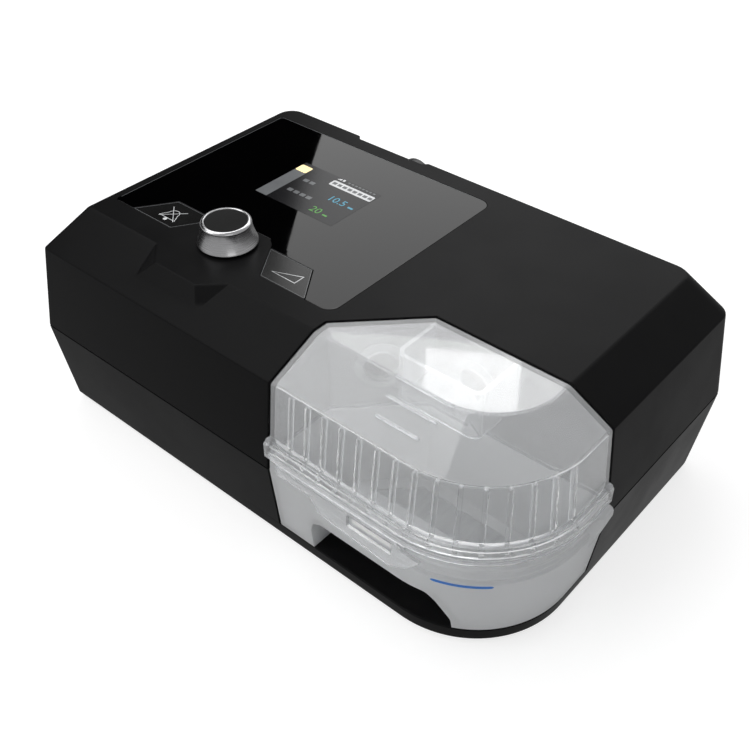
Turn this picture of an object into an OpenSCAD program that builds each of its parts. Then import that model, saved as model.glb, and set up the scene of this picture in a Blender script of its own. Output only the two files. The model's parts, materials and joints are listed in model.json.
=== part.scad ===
// Bedside breathing-therapy machine with a heated humidifier chamber.
// X runs to the user's right, Y to the back, Z up. The feet stand on Z = 0 and the
// origin is the middle of the whole outline, seen from above.

/* [Case] */
// Width of the case at the seam between its two shells
body_w = 290; // [284:1:310]
// Depth of the case at the seam
body_d = 183.5; // [180:0.5:200]
// Height of the rubber feet below the case
foot_h = 2; // [1:0.5:5]
// Height of the lower shell
lower_h = 47.2; // [46:0.2:56]
// Height of the upright band of the upper shell
band_h = 47.5; // [46:0.5:58]
// Rise of the sloping shoulders above the band
shoulder_h = 11.6; // [10:0.2:14]
// How far the case draws in from the seam down to its bottom edge
lower_in = 5; // [3:0.25:6]
// How far the case draws in from the seam up to the top of the band
upper_in = 5; // [3:0.25:6]
// Depth of the sloping front shoulder
front_run = 27.8; // [24:0.2:30]
// Width of the sloping right shoulder
right_run = 21.7; // [18:0.1:24]
// Width of the narrow left shoulder
left_run = 2.2; // [1.5:0.1:4]
// Wall thickness of the two shells
wall = 2.2; // [1.8:0.1:2.6]
// Thickness of the flat top
top_wall = 3.2; // [3:0.1:4]
// Radius of the upright corner at the back left, at the seam
corner_r = 14; // [12:0.5:18]
// Radius of the large front right corner at the seam
nose_r = 55; // [50:1:58]
// Height of the fine shadow gap along the seam
seam_gap = 0.5; // [0.3:0.1:0.8]

/* [Chamber bay] */
// Width of the bay, from the right side of the case
bay_w = 128.7; // [126:0.1:131]
// Depth of the bay, from the front of the case
bay_d = 74.6; // [72:0.1:77]
// Size of the slanting corner of the bay
bay_diag = 34; // [30:0.5:38]
// Height of the tray under the chamber
tray_h = 8; // [8:0.5:11]
// Gap between the bay's walls and the chamber
bay_gap = 0.9; // [0.6:0.1:1.4]

/* [Controls] */
// Distance of the dial's axis from the left side
knob_from_left = 84.6; // [82:0.2:88]
// Distance of the dial's axis from the front
knob_from_front = 55.5; // [54:0.5:58]
// Radius of the dial's foot
knob_r0 = 14.7; // [13:0.1:16]
// Radius of the dial's top
knob_r1 = 12.2; // [11:0.1:13]
// Height of the dial
knob_h = 11.7; // [10:0.1:14]
// Push travel of the dial
knob_travel = 0.8; // [0.4:0.1:1]
// Width of a glass push button along its front edge
button_w = 28; // [24:0.5:30]
// Depth of a push button
button_d = 18.8; // [16:0.2:20]
// Sideways lean of a push button
button_lean = 12.8; // [10:0.2:14]
// Travel of a push button
button_travel = 0.5; // [0.3:0.1:0.6]

/* [Glass and screen] */
// Distance of the glass from the left side
glass_from_left = 12; // [11:0.5:14]
// Width of the glass
glass_w = 147; // [144:0.5:148]
// Distance of the glass's front edge from the front
glass_from_front = 46.3; // [45.5:0.1:48]
// Depth of the glass
glass_d = 119.6; // [116:0.2:122]
// Thickness of the glass
glass_t = 1.5; // [1.2:0.1:1.8]
// Width of the screen's picture
screen_w = 52.5; // [48:0.5:56]
// Depth of the screen's picture
screen_d = 38; // [34:0.5:42]
// Distance of the screen's middle from the front
screen_from_front = 117; // [112:0.5:120]

/* [Chamber] */
// Wall thickness of the tub and the lid
chamber_t = 2; // [1.6:0.1:2.4]
// Height of the lid's lower edge above the seam
rim_rise = 10.6; // [9:0.2:12]
// Height of the lid's flange
flange_h = 9; // [7:0.2:10]
// How far the flange stands out in front of the seam
flange_proud = 2.2; // [1.8:0.1:3]
// How far the tub's ear stands out at the right side
ear_proud = 3.5; // [3:0.1:5]
// Radius of the large corner where the lid turns flat
lid_top_r = 33; // [28:1:36]
// Number of stiffening ribs inside the lid's wall
rib_count = 15; // [8:1:18]
// Width of the finger recess under the tub
recess_w = 75; // [68:0.5:78]
// Height of the finger recess
recess_h = 22; // [18:0.5:24]
// Depth of the finger recess
recess_d = 26; // [20:0.5:27]

/* [Air path] */
// Outer radius of the hose port
port_r = 11; // [10.9:0.05:11.1]
// Wall of the hose port
port_t = 2; // [1.5:0.1:2.5]
// How far the hose port stands out behind the seam
port_proud = 16.3; // [14:0.1:20]
// Height of the air duct's axis above the seam
duct_rise = 33; // [31:0.5:34]
// Inner radius of the air ducts
duct_r = 9; // [8:0.2:9.5]
// Radius of the blower housing
blower_r = 33; // [31:0.5:34]
// Number of impeller blades
blade_count = 11; // [7:1:13]

/* [Hidden] */

$fn = 64;
eps = 0.01;
far = 400;
fit = 0.25;
run_gap = 0.3;
press = 0.05;

case_c = "#2b2b2d";
dark_c = "#18181a";
clear_c = [0.82, 0.84, 0.86, 0.45];
frost_c = [0.72, 0.74, 0.76, 0.85];
metal_c = "#b9bcc0";
board_c = "#1e5a38";
grey_c = "#6f7276";
foam_c = "#4a4d52";
rubber_c = "#8d9296";

// outline of the whole machine
left_x = -(body_w + ear_proud) / 2;
right_x = left_x + body_w;
front_y = -(flange_proud + body_d + port_proud) / 2 + flange_proud;
back_y = front_y + body_d;
z_bottom = foot_h;
z_seam = z_bottom + lower_h;
z_band = z_seam + band_h;
z_top = z_band + shoulder_h;
z_tray = z_bottom + tray_h;
back_run = 0.6;

// chamber bay
bay_x = right_x - bay_w;
bay_back = front_y + bay_d;

// controls
knob_x = left_x + knob_from_left;
knob_y = front_y + knob_from_front;
glass_x = left_x + glass_from_left;
glass_y = front_y + glass_from_front;
glass_gap = 0.2;
glass_bed = glass_t + 0.1;
button_inner = 30.8;
button_post_r = 2.5;
screen_x = knob_x + 1;
screen_y = front_y + screen_from_front;
ui_t = 1.6;
ui_drop = 8.5;
z_ui = z_top - ui_drop;
shaft_r = 3;
shaft_up = 7.5;

// chamber heights
z_rim = z_seam + rim_rise;
z_flange = z_rim + flange_h;
z_tub = z_tray + run_gap;
duct_z = z_seam + duct_rise;
port_hole_r = 8;
inlet_x = bay_x + 57;

// how far the case is drawn in at height z, between its bottom and the top of the band
function side_in(z) =
    z < z_seam ? lower_in * (z_seam - z) / lower_h : upper_in * (z - z_seam) / band_h;

// where the inside of a shoulder of wall t leaves the band, and where it meets the top
function shoulder_z(run, t) =
    let (a = atan2(shoulder_h, run)) z_band + t * tan(a) - t / cos(a);
function shoulder_run(run, t, top) =
    let (a = atan2(shoulder_h, run)) (shoulder_h - top + t / cos(a)) / tan(a);

// half of the case's section: points go out from the seam's edge e, dir points inwards
function side_profile(e, dir, run, t, top) = [
    [e + dir * (lower_in + t), z_bottom + t],
    [e + dir * t, z_seam],
    [e + dir * (upper_in + t), min(shoulder_z(run, t), z_top - top - eps)],
    [e + dir * (upper_in + shoulder_run(run, t, top)), z_top - top]];
function reversed(p) = [for (i = [len(p) - 1:-1:0]) p[i]];

// upright rounded corner of the case, taken off the block that two straight sides make;
// the corners at the front left and the back right stay sharp
module corner_trim(ex, ey, dx, dy, r, t) {
    mx = ex + dx * r;
    my = ey + dy * r;
    difference() {
        translate([min(mx, mx - dx * (r + 2)), min(my, my - dy * (r + 2)), 0])
            cube([r + 2, r + 2, z_top + 2]);
        translate([mx, my, z_bottom - eps])
            cylinder(h = lower_h + eps, r1 = r - lower_in - t, r2 = r - t);
        translate([mx, my, z_seam])
            cylinder(h = band_h, r1 = r - t, r2 = r - upper_in - t);
        translate([mx, my, z_band])
            cylinder(h = shoulder_h + 3, r = r - upper_in - t);
    }
}

// the case's outer form, drawn in by t all round and by top at the flat top
module case_form(t, top) {
    difference() {
        intersection() {
            translate([left_x - 5, 0, 0])
                rotate([90, 0, 90])
                    linear_extrude(body_w + 10)
                        polygon(concat(side_profile(front_y, 1, front_run, t, top),
                            reversed(side_profile(back_y, -1, back_run, t, top))));
            translate([0, back_y + 5, 0])
                rotate([90, 0, 0])
                    linear_extrude(body_d + 10)
                        polygon(concat(side_profile(left_x, 1, left_run, t, top),
                            reversed(side_profile(right_x, -1, right_run, t, top))));
        }
        corner_trim(left_x, back_y, 1, -1, corner_r, t);
        corner_trim(right_x, front_y, -1, 1, nose_r, t);
    }
}

module slab(z0, z1) {
    translate([-far / 2, -far / 2, z0])
        cube([far, far, z1 - z0]);
}

// plan of the bay, drawn in by g
module bay_plan(g) {
    slant = g * sqrt(2);
    polygon([
        [bay_x + g, front_y - 40],
        [bay_x + g, bay_back - bay_diag + g - slant],
        [bay_x + bay_diag - g + slant, bay_back - g],
        [right_x + 40, bay_back - g],
        [right_x + 40, front_y - 40]]);
}

module bay_block(g, z0, z1) {
    translate([0, 0, z0])
        linear_extrude(z1 - z0)
            bay_plan(g);
}

// ---- recesses of the case: hose port, inlet filter, card slot, supply socket ----

port_x = bay_x - 76.3;
port_bed = 8.4;
port_bed_w = 44;
port_mouth_w = 60;
port_floor_y = back_y - port_bed;
port_base_z = z_seam + 15;

module port_pocket(g) {
    translate([port_x, port_floor_y - g, port_base_z - g])
        linear_extrude(z_top)
            polygon([
                [-port_bed_w / 2 - g, 0],
                [port_bed_w / 2 + g, 0],
                [port_mouth_w / 2 + g, port_bed + g + 1],
                [-port_mouth_w / 2 - g, port_bed + g + 1]]);
}

filter_w = 52;
filter_h = 30;
filter_x = right_x - 92;
filter_z = z_bottom + 11;
filter_bed = 8;
filter_floor_y = back_y - filter_bed;

module filter_pocket(g) {
    translate([filter_x - g, filter_floor_y - g, filter_z - g])
        cube([filter_w + 2 * g, filter_bed + g + 5, filter_h + 2 * g]);
}

sd_w = 30;
sd_h = 9;
sd_bed = 6;
sd_y = front_y + 90;
sd_z = z_bottom + 15;

module sd_pocket(g) {
    translate([left_x - 5, sd_y - g, sd_z - g])
        cube([sd_bed + 5 + g, sd_w + 2 * g, sd_h + 2 * g]);
}

dc_w = 16;
dc_h = 15;
dc_bed = 6;
dc_x = bay_x - 43.3;
dc_z = z_bottom + 15.6;

module dc_pocket(g) {
    translate([dc_x - g, back_y - dc_bed - g, dc_z - g])
        cube([dc_w + 2 * g, dc_bed + g + 5, dc_h + 2 * g]);
}

// ---- case screws: their bosses stand at these places ----

boss_r = 4.5;
screw_r = 1.5;
pilot_r = 1.45;
head_r = 2.9;
head_h = 2.4;
head_hole_r = 3.3;
seat_drop = 6;
screw_grip = 9;
CASE_BOSSES = [
    [left_x + 14, front_y + 14.5],
    [bay_x - 11.3, front_y + 14.5],
    [left_x + 14, back_y - 15.5],
    [bay_x + 3.7, back_y - 15.5],
    [right_x - 13.5, back_y - 15.5],
    [right_x - 13.5, bay_back + 9.5]];

module at_bosses() {
    for (p = CASE_BOSSES)
        translate([p[0], p[1], 0])
            children();
}

foot_r = 8;
foot_in = 1;
FEET = [
    [left_x + 28, front_y + 28],
    [right_x - 40, front_y + 28],
    [left_x + 28, back_y - 30],
    [right_x - 28, back_y - 30]];

// ---- boards and their posts ----

board_t = 1.6;
board_z = z_bottom + 14;
board_x = left_x + 12;
board_y = front_y + 34;
board_w = bay_x - 18.3 - board_x;
board_d = 126;
post_r = 3.5;
board_screw_r = 1.2;
board_pilot_r = 1.15;
board_head_r = 2.4;
board_head_h = 1.6;
board_grip = 5;
BOARD_POSTS = [
    [board_x + 8, board_y + 8],
    [board_x + board_w - 8, board_y + 8],
    [board_x + 8, board_y + board_d - 8],
    [board_x + board_w - 8, board_y + board_d - 8]];

ui_x = knob_x - 60;
ui_y = knob_y - 12;
ui_w = 120;
ui_d = 106;
UI_POSTS = [
    [ui_x + 5, ui_y + 32],
    [ui_x + ui_w - 5, ui_y + 32],
    [ui_x + 5, ui_y + ui_d - 6],
    [ui_x + ui_w - 5, ui_y + ui_d - 6]];

// heater in the tray
heater_x = bay_x + 12;
heater_y = bay_back - 40;
heater_w = 100;
heater_d = 30;
heater_t = 1.5;
heater_lip = 2;
HEATER_SCREWS = [
    [heater_x + 5.5, heater_y + 5.5],
    [heater_x + heater_w - 6, heater_y + heater_d - 7]];

// plan of a plate whose back left corner keeps the distance m from the bay's slanting wall
module cornered_plan(x0, y0, x1, y1, m) {
    k = bay_back - bay_diag - bay_x - m * sqrt(2);
    difference() {
        translate([x0, y0])
            square([x1 - x0, y1 - y0]);
        polygon([[x0 - 60, x0 - 60 + k], [x1 + 60, x1 + 60 + k], [x0 - 60, x1 + 60 + k]]);
    }
}
module heater_plan(g) {
    cornered_plan(heater_x + g, heater_y + g, heater_x + heater_w - g, heater_y + heater_d - g, 7 + g);
}

module base_shell() color(case_c) {
    difference() {
        union() {
            difference() {
                intersection() {
                    case_form(0, 0);
                    slab(0, z_seam);
                }
                // main hollow, which stays clear of the bay, the pockets and the bosses
                difference() {
                    intersection() {
                        case_form(wall, top_wall);
                        slab(z_bottom + wall, z_seam + 1);
                    }
                    bay_block(-wall, z_tray - wall, z_seam + 2);
                    filter_pocket(wall);
                    sd_pocket(wall);
                    dc_pocket(wall);
                    at_bosses()
                        cylinder(h = z_seam + 1, r = boss_r);
                }
                bay_block(0, z_tray, z_seam + 2);
            }
            for (p = BOARD_POSTS)
                translate([p[0], p[1], z_bottom + wall - eps])
                    cylinder(h = board_z - z_bottom - wall + eps, r = post_r);
            for (p = HEATER_SCREWS)
                translate([p[0], p[1], z_bottom + wall - eps])
                    cylinder(h = tray_h - wall - heater_t + eps, r = 3);
        }
        // pockets and their ways through
        filter_pocket(0);
        translate([filter_x + 4, filter_floor_y - wall - 1, filter_z + 4])
            cube([filter_w - 8, wall + 2, filter_h - 8]);
        sd_pocket(0);
        translate([left_x + sd_bed - 1, sd_y + 2, sd_z + 3])
            cube([wall + 2, sd_w - 4, 3]);
        dc_pocket(0);
        translate([dc_x + dc_w / 2, back_y - dc_bed + 1, dc_z + dc_h / 2])
            rotate([90, 0, 0])
                cylinder(h = wall + 2, r = dc_jack_r + fit);
        // case screws come up from below
        at_bosses()
            cylinder(h = z_seam - seat_drop, r = head_hole_r);
        at_bosses()
            cylinder(h = z_seam + 1, r = screw_r + fit);
        for (p = FEET)
            translate([p[0], p[1], 0])
                cylinder(h = z_bottom + foot_in, r = foot_r);
        for (p = BOARD_POSTS)
            translate([p[0], p[1], board_z - board_grip])
                cylinder(h = board_grip + 1, r = board_pilot_r);
        // heater window in the tray, with a ledge around it
        difference() {
            translate([0, 0, z_tray - wall - 1])
                linear_extrude(wall + 2)
                    heater_plan(heater_lip);
            for (p = HEATER_SCREWS)
                translate([p[0], p[1], 0])
                    cylinder(h = z_tray - heater_t, r = 3);
        }
        translate([0, 0, z_tray - heater_t])
            linear_extrude(heater_t + 1)
                heater_plan(0);
        for (p = HEATER_SCREWS)
            translate([p[0], p[1], z_bottom + wall])
                cylinder(h = 10, r = 1.2 - press);
    }
}

// flat facets of the raised nose in front of the dial
nose_half = 25.2;
nose_tip_half = 13.6;
nose_reach = 10.9;
nose_foot_half = 21;
nose_foot_reach = 18;

module dial_nose() {
    fold_y = front_y + upper_in + front_run;
    slope = shoulder_h / front_run;
    low = z_top - nose_foot_reach * slope;
    deep = z_top - nose_foot_reach * slope - 3;
    pts = [
        [knob_x - nose_half, fold_y + 1, z_top],
        [knob_x - nose_tip_half, fold_y - nose_reach, z_top],
        [knob_x + nose_tip_half, fold_y - nose_reach, z_top],
        [knob_x + nose_half, fold_y + 1, z_top],
        [knob_x - nose_foot_half, fold_y - nose_foot_reach, low],
        [knob_x + nose_foot_half, fold_y - nose_foot_reach, low],
        [knob_x - nose_half, fold_y + 1, deep],
        [knob_x + nose_half, fold_y + 1, deep],
        [knob_x - nose_foot_half, fold_y - nose_foot_reach, deep],
        [knob_x + nose_foot_half, fold_y - nose_foot_reach, deep]];
    polyhedron(points = pts, faces = [
        [0, 3, 2, 1],
        [1, 2, 5, 4],
        [0, 1, 4],
        [3, 5, 2],
        [4, 5, 9, 8],
        [0, 4, 8, 6],
        [3, 7, 9, 5],
        [0, 6, 7, 3],
        [6, 8, 9, 7]]);
}

// plan of one push button: side is -1 left of the dial and 1 right of it; g grows it
module button_plan(side, g) {
    y0 = glass_y - g;
    y1 = glass_y + button_d + g;
    lean = button_lean / button_d;
    grow = g * sqrt(1 + lean * lean);
    polygon([
        [knob_x + side * (button_inner - grow + lean * g), y0],
        [knob_x + side * (button_inner + button_w + grow + lean * g), y0],
        [knob_x + side * (button_inner + button_w + grow - button_lean - lean * g), y1],
        [knob_x + side * (button_inner - grow - button_lean - lean * g), y1]]);
}

// plan of the part of the top that the dial stands on; g grows it
dial_bed_back = 24.4;
module dial_bed_plan(g) {
    lean = button_lean / button_d;
    half0 = button_inner - glass_gap + g;
    polygon([
        [knob_x - half0 - 2 * lean, glass_y - 2],
        [knob_x + half0 + 2 * lean, glass_y - 2],
        [knob_x + half0 - lean * dial_bed_back + 3, glass_y + dial_bed_back - 3],
        [knob_x + half0 - lean * dial_bed_back - 1, glass_y + dial_bed_back + g],
        [knob_x - half0 + lean * dial_bed_back + 1, glass_y + dial_bed_back + g],
        [knob_x - half0 + lean * dial_bed_back - 3, glass_y + dial_bed_back - 3]]);
}

// rectangle with a radius of its own at each corner, from front left, counted the way round
module soft_plan(x0, y0, x1, y1, r) {
    union() {
        polygon([
            [x0 + r[0], y0], [x1 - r[1], y0], [x1, y0 + r[1]], [x1, y1 - r[2]],
            [x1 - r[2], y1], [x0 + r[3], y1], [x0, y1 - r[3]], [x0, y0 + r[0]]]);
        translate([x0 + r[0], y0 + r[0]]) circle(r[0]);
        translate([x1 - r[1], y0 + r[1]]) circle(r[1]);
        translate([x1 - r[2], y1 - r[2]]) circle(r[2]);
        translate([x0 + r[3], y1 - r[3]]) circle(r[3]);
    }
}

module glass_outline(g) {
    soft_plan(glass_x - g, glass_y - g, glass_x + glass_w + g, glass_y + glass_d + g,
        [2 + g, 6 + g, 6 + g, 5 + g]);
}

module button_posts(r, z0, z1) {
    for (side = [-1, 1])
        translate([knob_x + side * (button_inner + button_w / 2 - button_lean / 2), glass_y + button_d / 2, z0])
            cylinder(h = z1 - z0, r = r);
}

// round ways for the air through the bay's back wall and its slanting wall
slant_mid = bay_diag / 2;
module inlet_way(r, y0, y1) {
    translate([inlet_x, bay_back + y1, duct_z])
        rotate([90, 0, 0])
            cylinder(h = y1 - y0, r = r);
}
module outlet_way(r, d0, d1) {
    translate([bay_x + slant_mid, bay_back - slant_mid, duct_z])
        rotate([0, 0, 45])
            translate([0, d1, 0])
                rotate([90, 0, 0])
                    cylinder(h = d1 - d0, r = r);
}

module top_shell() color(case_c) {
    difference() {
        union() {
            difference() {
                intersection() {
                    case_form(0, 0);
                    slab(z_seam, z_top + 1);
                }
                difference() {
                    intersection() {
                        case_form(wall, top_wall);
                        slab(z_seam - 1, z_top);
                    }
                    bay_block(-wall, z_seam - 2, z_top);
                    port_pocket(wall);
                    at_bosses()
                        cylinder(h = z_top, r = boss_r);
                    for (p = UI_POSTS)
                        translate([p[0], p[1], z_ui])
                            cylinder(h = ui_drop, r = post_r);
                }
            }
            dial_nose();
        }
        bay_block(0, z_seam - 1, z_top + 1);
        port_pocket(0);
        // shadow gap along the seam
        difference() {
            slab(z_seam - 1, z_seam + seam_gap);
            case_form(wall / 2, top_wall);
            bay_block(-wall, z_seam - 2, z_top);
        }
        // bed of the glass and the deeper beds of the buttons
        translate([0, 0, z_top - glass_bed])
            linear_extrude(glass_bed + 1)
                difference() {
                    union() {
                        glass_outline(glass_gap);
                        button_plan(-1, glass_gap);
                        button_plan(1, glass_gap);
                    }
                    dial_bed_plan(0);
                }
        translate([0, 0, z_top - glass_bed - button_travel - run_gap])
            linear_extrude(glass_bed + 1)
                union() {
                    button_plan(-1, glass_gap);
                    button_plan(1, glass_gap);
                }
        button_posts(button_post_r + run_gap, z_top - top_wall - 1, z_top);
        // screen window and the dial's shaft
        translate([screen_x - screen_w / 2 - 7.2, screen_y - screen_d / 2 - 6.2, z_top - top_wall - 1])
            cube([screen_w + 14.4, screen_d + 12.4, top_wall + 2]);
        translate([knob_x, knob_y, z_top - top_wall - 1])
            cylinder(h = top_wall + 2, r = bush_r + fit);
        // air ways
        inlet_way(port_hole_r + 1.5, -1, wall + 1);
        outlet_way(port_hole_r + 1.5, -1, wall + 1);
        translate([port_x, port_floor_y + 1, duct_z])
            rotate([90, 0, 0])
                cylinder(h = wall + 2, r = port_r - press);
        at_bosses()
            translate([0, 0, z_seam - 1])
                cylinder(h = screw_grip + 2, r = pilot_r);
        for (p = UI_POSTS)
            translate([p[0], p[1], z_ui - 1])
                cylinder(h = ui_drop - top_wall + 1, r = board_pilot_r);
    }
}

module glass_panel() color(dark_c) {
    translate([0, 0, z_top - glass_t])
        linear_extrude(glass_t)
            difference() {
                glass_outline(0);
                button_plan(-1, glass_gap);
                button_plan(1, glass_gap);
                dial_bed_plan(glass_gap);
            }
}

module push_button(side) {
    intersection() {
        union() {
            translate([0, 0, z_top - glass_t])
                linear_extrude(glass_t)
                    difference() {
                        button_plan(side, 0);
                        dial_bed_plan(glass_gap);
                    }
            button_posts(button_post_r, z_ui + tact_h + button_travel + fit, z_top - glass_t + eps);
        }
        translate([knob_x + (side < 0 ? -80 : 0), knob_y - 80, z_ui])
            cube([80, 160, 20]);
    }
}
module mute_button() color(dark_c) push_button(-1);
module ramp_button() color(dark_c) push_button(1);

// ---- dial ----

knob_lift = 0.9;
rim_h = 1.3;
insert_r = 10.2;
insert_t = 1.2;
knob_wall = 1.6;
bush_r = 3.6;
function flare(k) = knob_r1 + (knob_r0 - knob_r1) * pow(k, 1.7);
module knob() color(metal_c) {
    body = knob_h - rim_h;
    translate([knob_x, knob_y, z_top + knob_lift])
        difference() {
            rotate_extrude()
                polygon(concat(
                    [[0, 0.6], [knob_r0 - knob_wall - 1.2, 0.6], [knob_r0 - knob_wall, 0], [knob_r0 - 0.5, 0]],
                    [for (i = [0:10]) [flare(1 - i / 10), 0.6 + (body - 0.6) * i / 10]],
                    [[knob_r1 - rim_h * 0.35, knob_h - 0.4], [knob_r1 - rim_h, knob_h],
                        [insert_r + 0.35, knob_h], [insert_r, knob_h - 0.35],
                        [insert_r, knob_h - insert_t - 0.35], [0, knob_h - insert_t - 0.35]]));
            translate([0, 0, -1])
                cylinder(h = shaft_up + 0.3, r = shaft_r + 0.05);
            translate([0, 0, -1])
                cylinder(h = knob_travel + 2.4, r = bush_r + 1);
        }
}

module knob_insert() color(dark_c) {
    translate([knob_x, knob_y, z_top + knob_lift + knob_h - insert_t - 0.35])
        rotate_extrude()
            polygon([[0, 0], [insert_r - 0.02, 0], [insert_r - 0.02, insert_t - 0.2],
                [insert_r - 0.25, insert_t], [0, insert_t - 0.15]]);
}

// the shaft slides down in the bushing when the dial is pushed; the dial turns on it
module encoder_shaft() color(grey_c) {
    translate([knob_x, knob_y, z_ui + knob_travel + 0.4])
        cylinder(h = z_top + knob_lift - 1 + shaft_up - z_ui - knob_travel - 0.4, r = shaft_r);
}

module encoder_body() color(grey_c) {
    translate([knob_x, knob_y, z_ui])
        difference() {
            union() {
                translate([-6.5, -6.5, 0])
                    cube([13, 13, ui_drop - top_wall - 0.2]);
                cylinder(h = ui_drop + 0.8, r = bush_r);
            }
            translate([0, 0, -1])
                cylinder(h = ui_drop + 3, r = shaft_r + 0.05);
        }
}

// ---- screen and its board ----

lcd_t = 2.6;
module lcd_module() color("#101316") {
    translate([screen_x - screen_w / 2 - 7, screen_y - screen_d / 2 - 6, z_top - glass_t - lcd_t])
        cube([screen_w + 14, screen_d + 12, lcd_t]);
}

module lcd_frame() color(grey_c) {
    h = ui_drop - glass_t - lcd_t;
    translate([screen_x, screen_y, z_ui])
        difference() {
            translate([-screen_w / 2 - 7, -screen_d / 2 - 6, 0])
                cube([screen_w + 14, screen_d + 12, h]);
            translate([-screen_w / 2 - 4, -screen_d / 2 - 3, -1])
                cube([screen_w + 8, screen_d + 6, h + 2]);
        }
}

module ui_board() color(board_c) {
    difference() {
        translate([ui_x, ui_y, z_ui - ui_t])
            cube([ui_w, ui_d, ui_t]);
        for (p = UI_POSTS)
            translate([p[0], p[1], z_ui - ui_t - 1])
                cylinder(h = ui_t + 2, r = board_screw_r + fit);
    }
}

tact_h = 4;
module tact_switches() color(grey_c) {
    for (side = [-1, 1])
        translate([knob_x + side * (button_inner + button_w / 2 - button_lean / 2), glass_y + button_d / 2, z_ui]) {
            translate([-3.2, -3.2, 0])
                cube([6.4, 6.4, tact_h - 0.7]);
            cylinder(h = tact_h, r = 1.7);
        }
}

// pan-head screw with a cross recess: its head's seat is at the origin and it points up
module pan_screw(r, len, hr, hh) {
    difference() {
        union() {
            translate([0, 0, -hh])
                cylinder(h = hh, r = hr);
            translate([0, 0, -eps])
                cylinder(h = len + eps, r = r);
        }
        for (a = [0, 90])
            rotate([0, 0, a])
                translate([-hr * 0.6, -0.35, -hh - eps])
                    cube([hr * 1.2, 0.7, hh * 0.55]);
    }
}

module ui_board_screws() color(metal_c) {
    for (p = UI_POSTS)
        translate([p[0], p[1], z_ui - ui_t])
            pan_screw(board_screw_r, ui_t + 4, board_head_r, board_head_h);
}

module speaker() color(dark_c) {
    translate([ui_x + 14, ui_y + 60, z_ui - ui_t - 4])
        cylinder(h = 4, r = 9);
}

// ---- main board ----

module main_board() color(board_c) {
    difference() {
        translate([board_x, board_y, board_z])
            cube([board_w, board_d, board_t]);
        for (p = BOARD_POSTS)
            translate([p[0], p[1], board_z - 1])
                cylinder(h = board_t + 2, r = board_screw_r + fit);
    }
}

module board_parts() color(dark_c) {
    top = board_z + board_t;
    for (i = [0:3])
        translate([board_x + 24 + 15 * i, board_y + 105, top])
            cylinder(h = 16, r = 5);
    translate([board_x + 40, board_y + 40, top])
        cube([18, 18, 1.6]);
    translate([board_x + 78, board_y + 44, top])
        cube([12, 12, 1.4]);
    for (i = [0:2])
        translate([board_x + 100, board_y + 30 + 24 * i, top])
            cube([22, 9, 8]);
    translate([board_x + 30, board_y + 14, top])
        difference() {
            cube([44, 16, 14]);
            for (k = [0:4])
                translate([4 + 8 * k, -1, 3])
                    cube([4, 18, 12]);
        }
}

module main_board_screws() color(metal_c) {
    for (p = BOARD_POSTS)
        translate([p[0], p[1], board_z + board_t])
            mirror([0, 0, 1])
                pan_screw(board_screw_r, board_t + board_grip - 1, board_head_r, board_head_h);
}

module coin_cell() color(metal_c) {
    translate([board_x + 84, board_y + 78, board_z + board_t])
        difference() {
            cylinder(h = 5, r = 11);
            translate([0, 0, 4.4])
                cylinder(h = 1, r = 8.5);
        }
}

card_t = 2.1;
card_w = 24;
card_len = 32;
card_out = 1.6;
module sd_socket() color(metal_c) {
    x0 = left_x + sd_bed + wall;
    translate([x0, sd_y + 1, board_z + board_t])
        difference() {
            cube([30, sd_w - 2, sd_z + 3 + 3.4 - board_z - board_t]);
            translate([-1, 1.6, sd_z + 2.8 - board_z - board_t])
                cube([30, card_w + 0.8, card_t + 0.8]);
        }
}

module sd_card() color("#1f3a63") {
    x0 = left_x + sd_bed - card_out;
    translate([x0, sd_y + 3, sd_z + 3.2])
        difference() {
            cube([card_len, card_w, card_t]);
            translate([card_len - 3, -1, -1])
                rotate([0, 0, -45])
                    cube([8, 8, card_t + 2]);
        }
}

dc_jack_r = 5.2;
module dc_inlet() color(dark_c) {
    y1 = back_y - dc_bed;
    difference() {
        union() {
            translate([dc_x + 1, y1 - wall - 18, dc_z - 0])
                cube([dc_w - 2, 18, dc_h - 1]);
            translate([dc_x + dc_w / 2, y1 + 0.2, dc_z + dc_h / 2])
                rotate([90, 0, 0])
                    cylinder(h = wall + 1, r = dc_jack_r);
        }
        translate([dc_x + dc_w / 2, y1 + 1, dc_z + dc_h / 2])
            rotate([90, 0, 0])
                difference() {
                    cylinder(h = 14, r = 3.7);
                    cylinder(h = 15, r = 1);
                }
    }
}

// ---- inlet filter and muffler ----

cover_t = 3;
cover_gap = 0.35;
module filter_cover() color(case_c) {
    y0 = filter_floor_y + 0.3;
    translate([filter_x + cover_gap, y0, filter_z + cover_gap])
        difference() {
            cube([filter_w - 2 * cover_gap, cover_t, filter_h - 2 * cover_gap]);
            for (k = [0:3])
                translate([6, -1, 5 + 5.4 * k])
                    cube([filter_w - 12.7, cover_t + 2, 2.6]);
            translate([filter_w / 2 - 6, cover_t - 1, filter_h - 2 * cover_gap - 3])
                cube([12, 2, 4]);
        }
}

foam_t = 5;
module filter_foam() color(foam_c) {
    translate([filter_x + 4.3, filter_floor_y - foam_t, filter_z + 4.3])
        cube([filter_w - 8.6, foam_t, filter_h - 8.6]);
}

blower_x = inlet_x + 21.5;
blower_y = bay_back + 60.5;
box_x0 = bay_x + 24;
box_x1 = right_x - 21;
box_y0 = bay_back + 7;
box_y1 = filter_floor_y - wall - 0.3;
box_z0 = z_bottom + wall;
box_z1 = z_seam + 11;
box_t = 2;
module muffler_box() color(grey_c) {
    difference() {
        translate([box_x0, box_y0, box_z0])
            cube([box_x1 - box_x0, box_y1 - box_y0, box_z1 - box_z0]);
        translate([box_x0 + box_t, box_y0 + box_t, box_z0 + box_t])
            cube([box_x1 - box_x0 - 2 * box_t, box_y1 - box_y0 - 2 * box_t, box_z1 - box_z0]);
        translate([filter_x + 2, box_y1 - box_t - 1, filter_z + 2])
            cube([filter_w - 4, box_t + 2, filter_h - 4]);
    }
}

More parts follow.
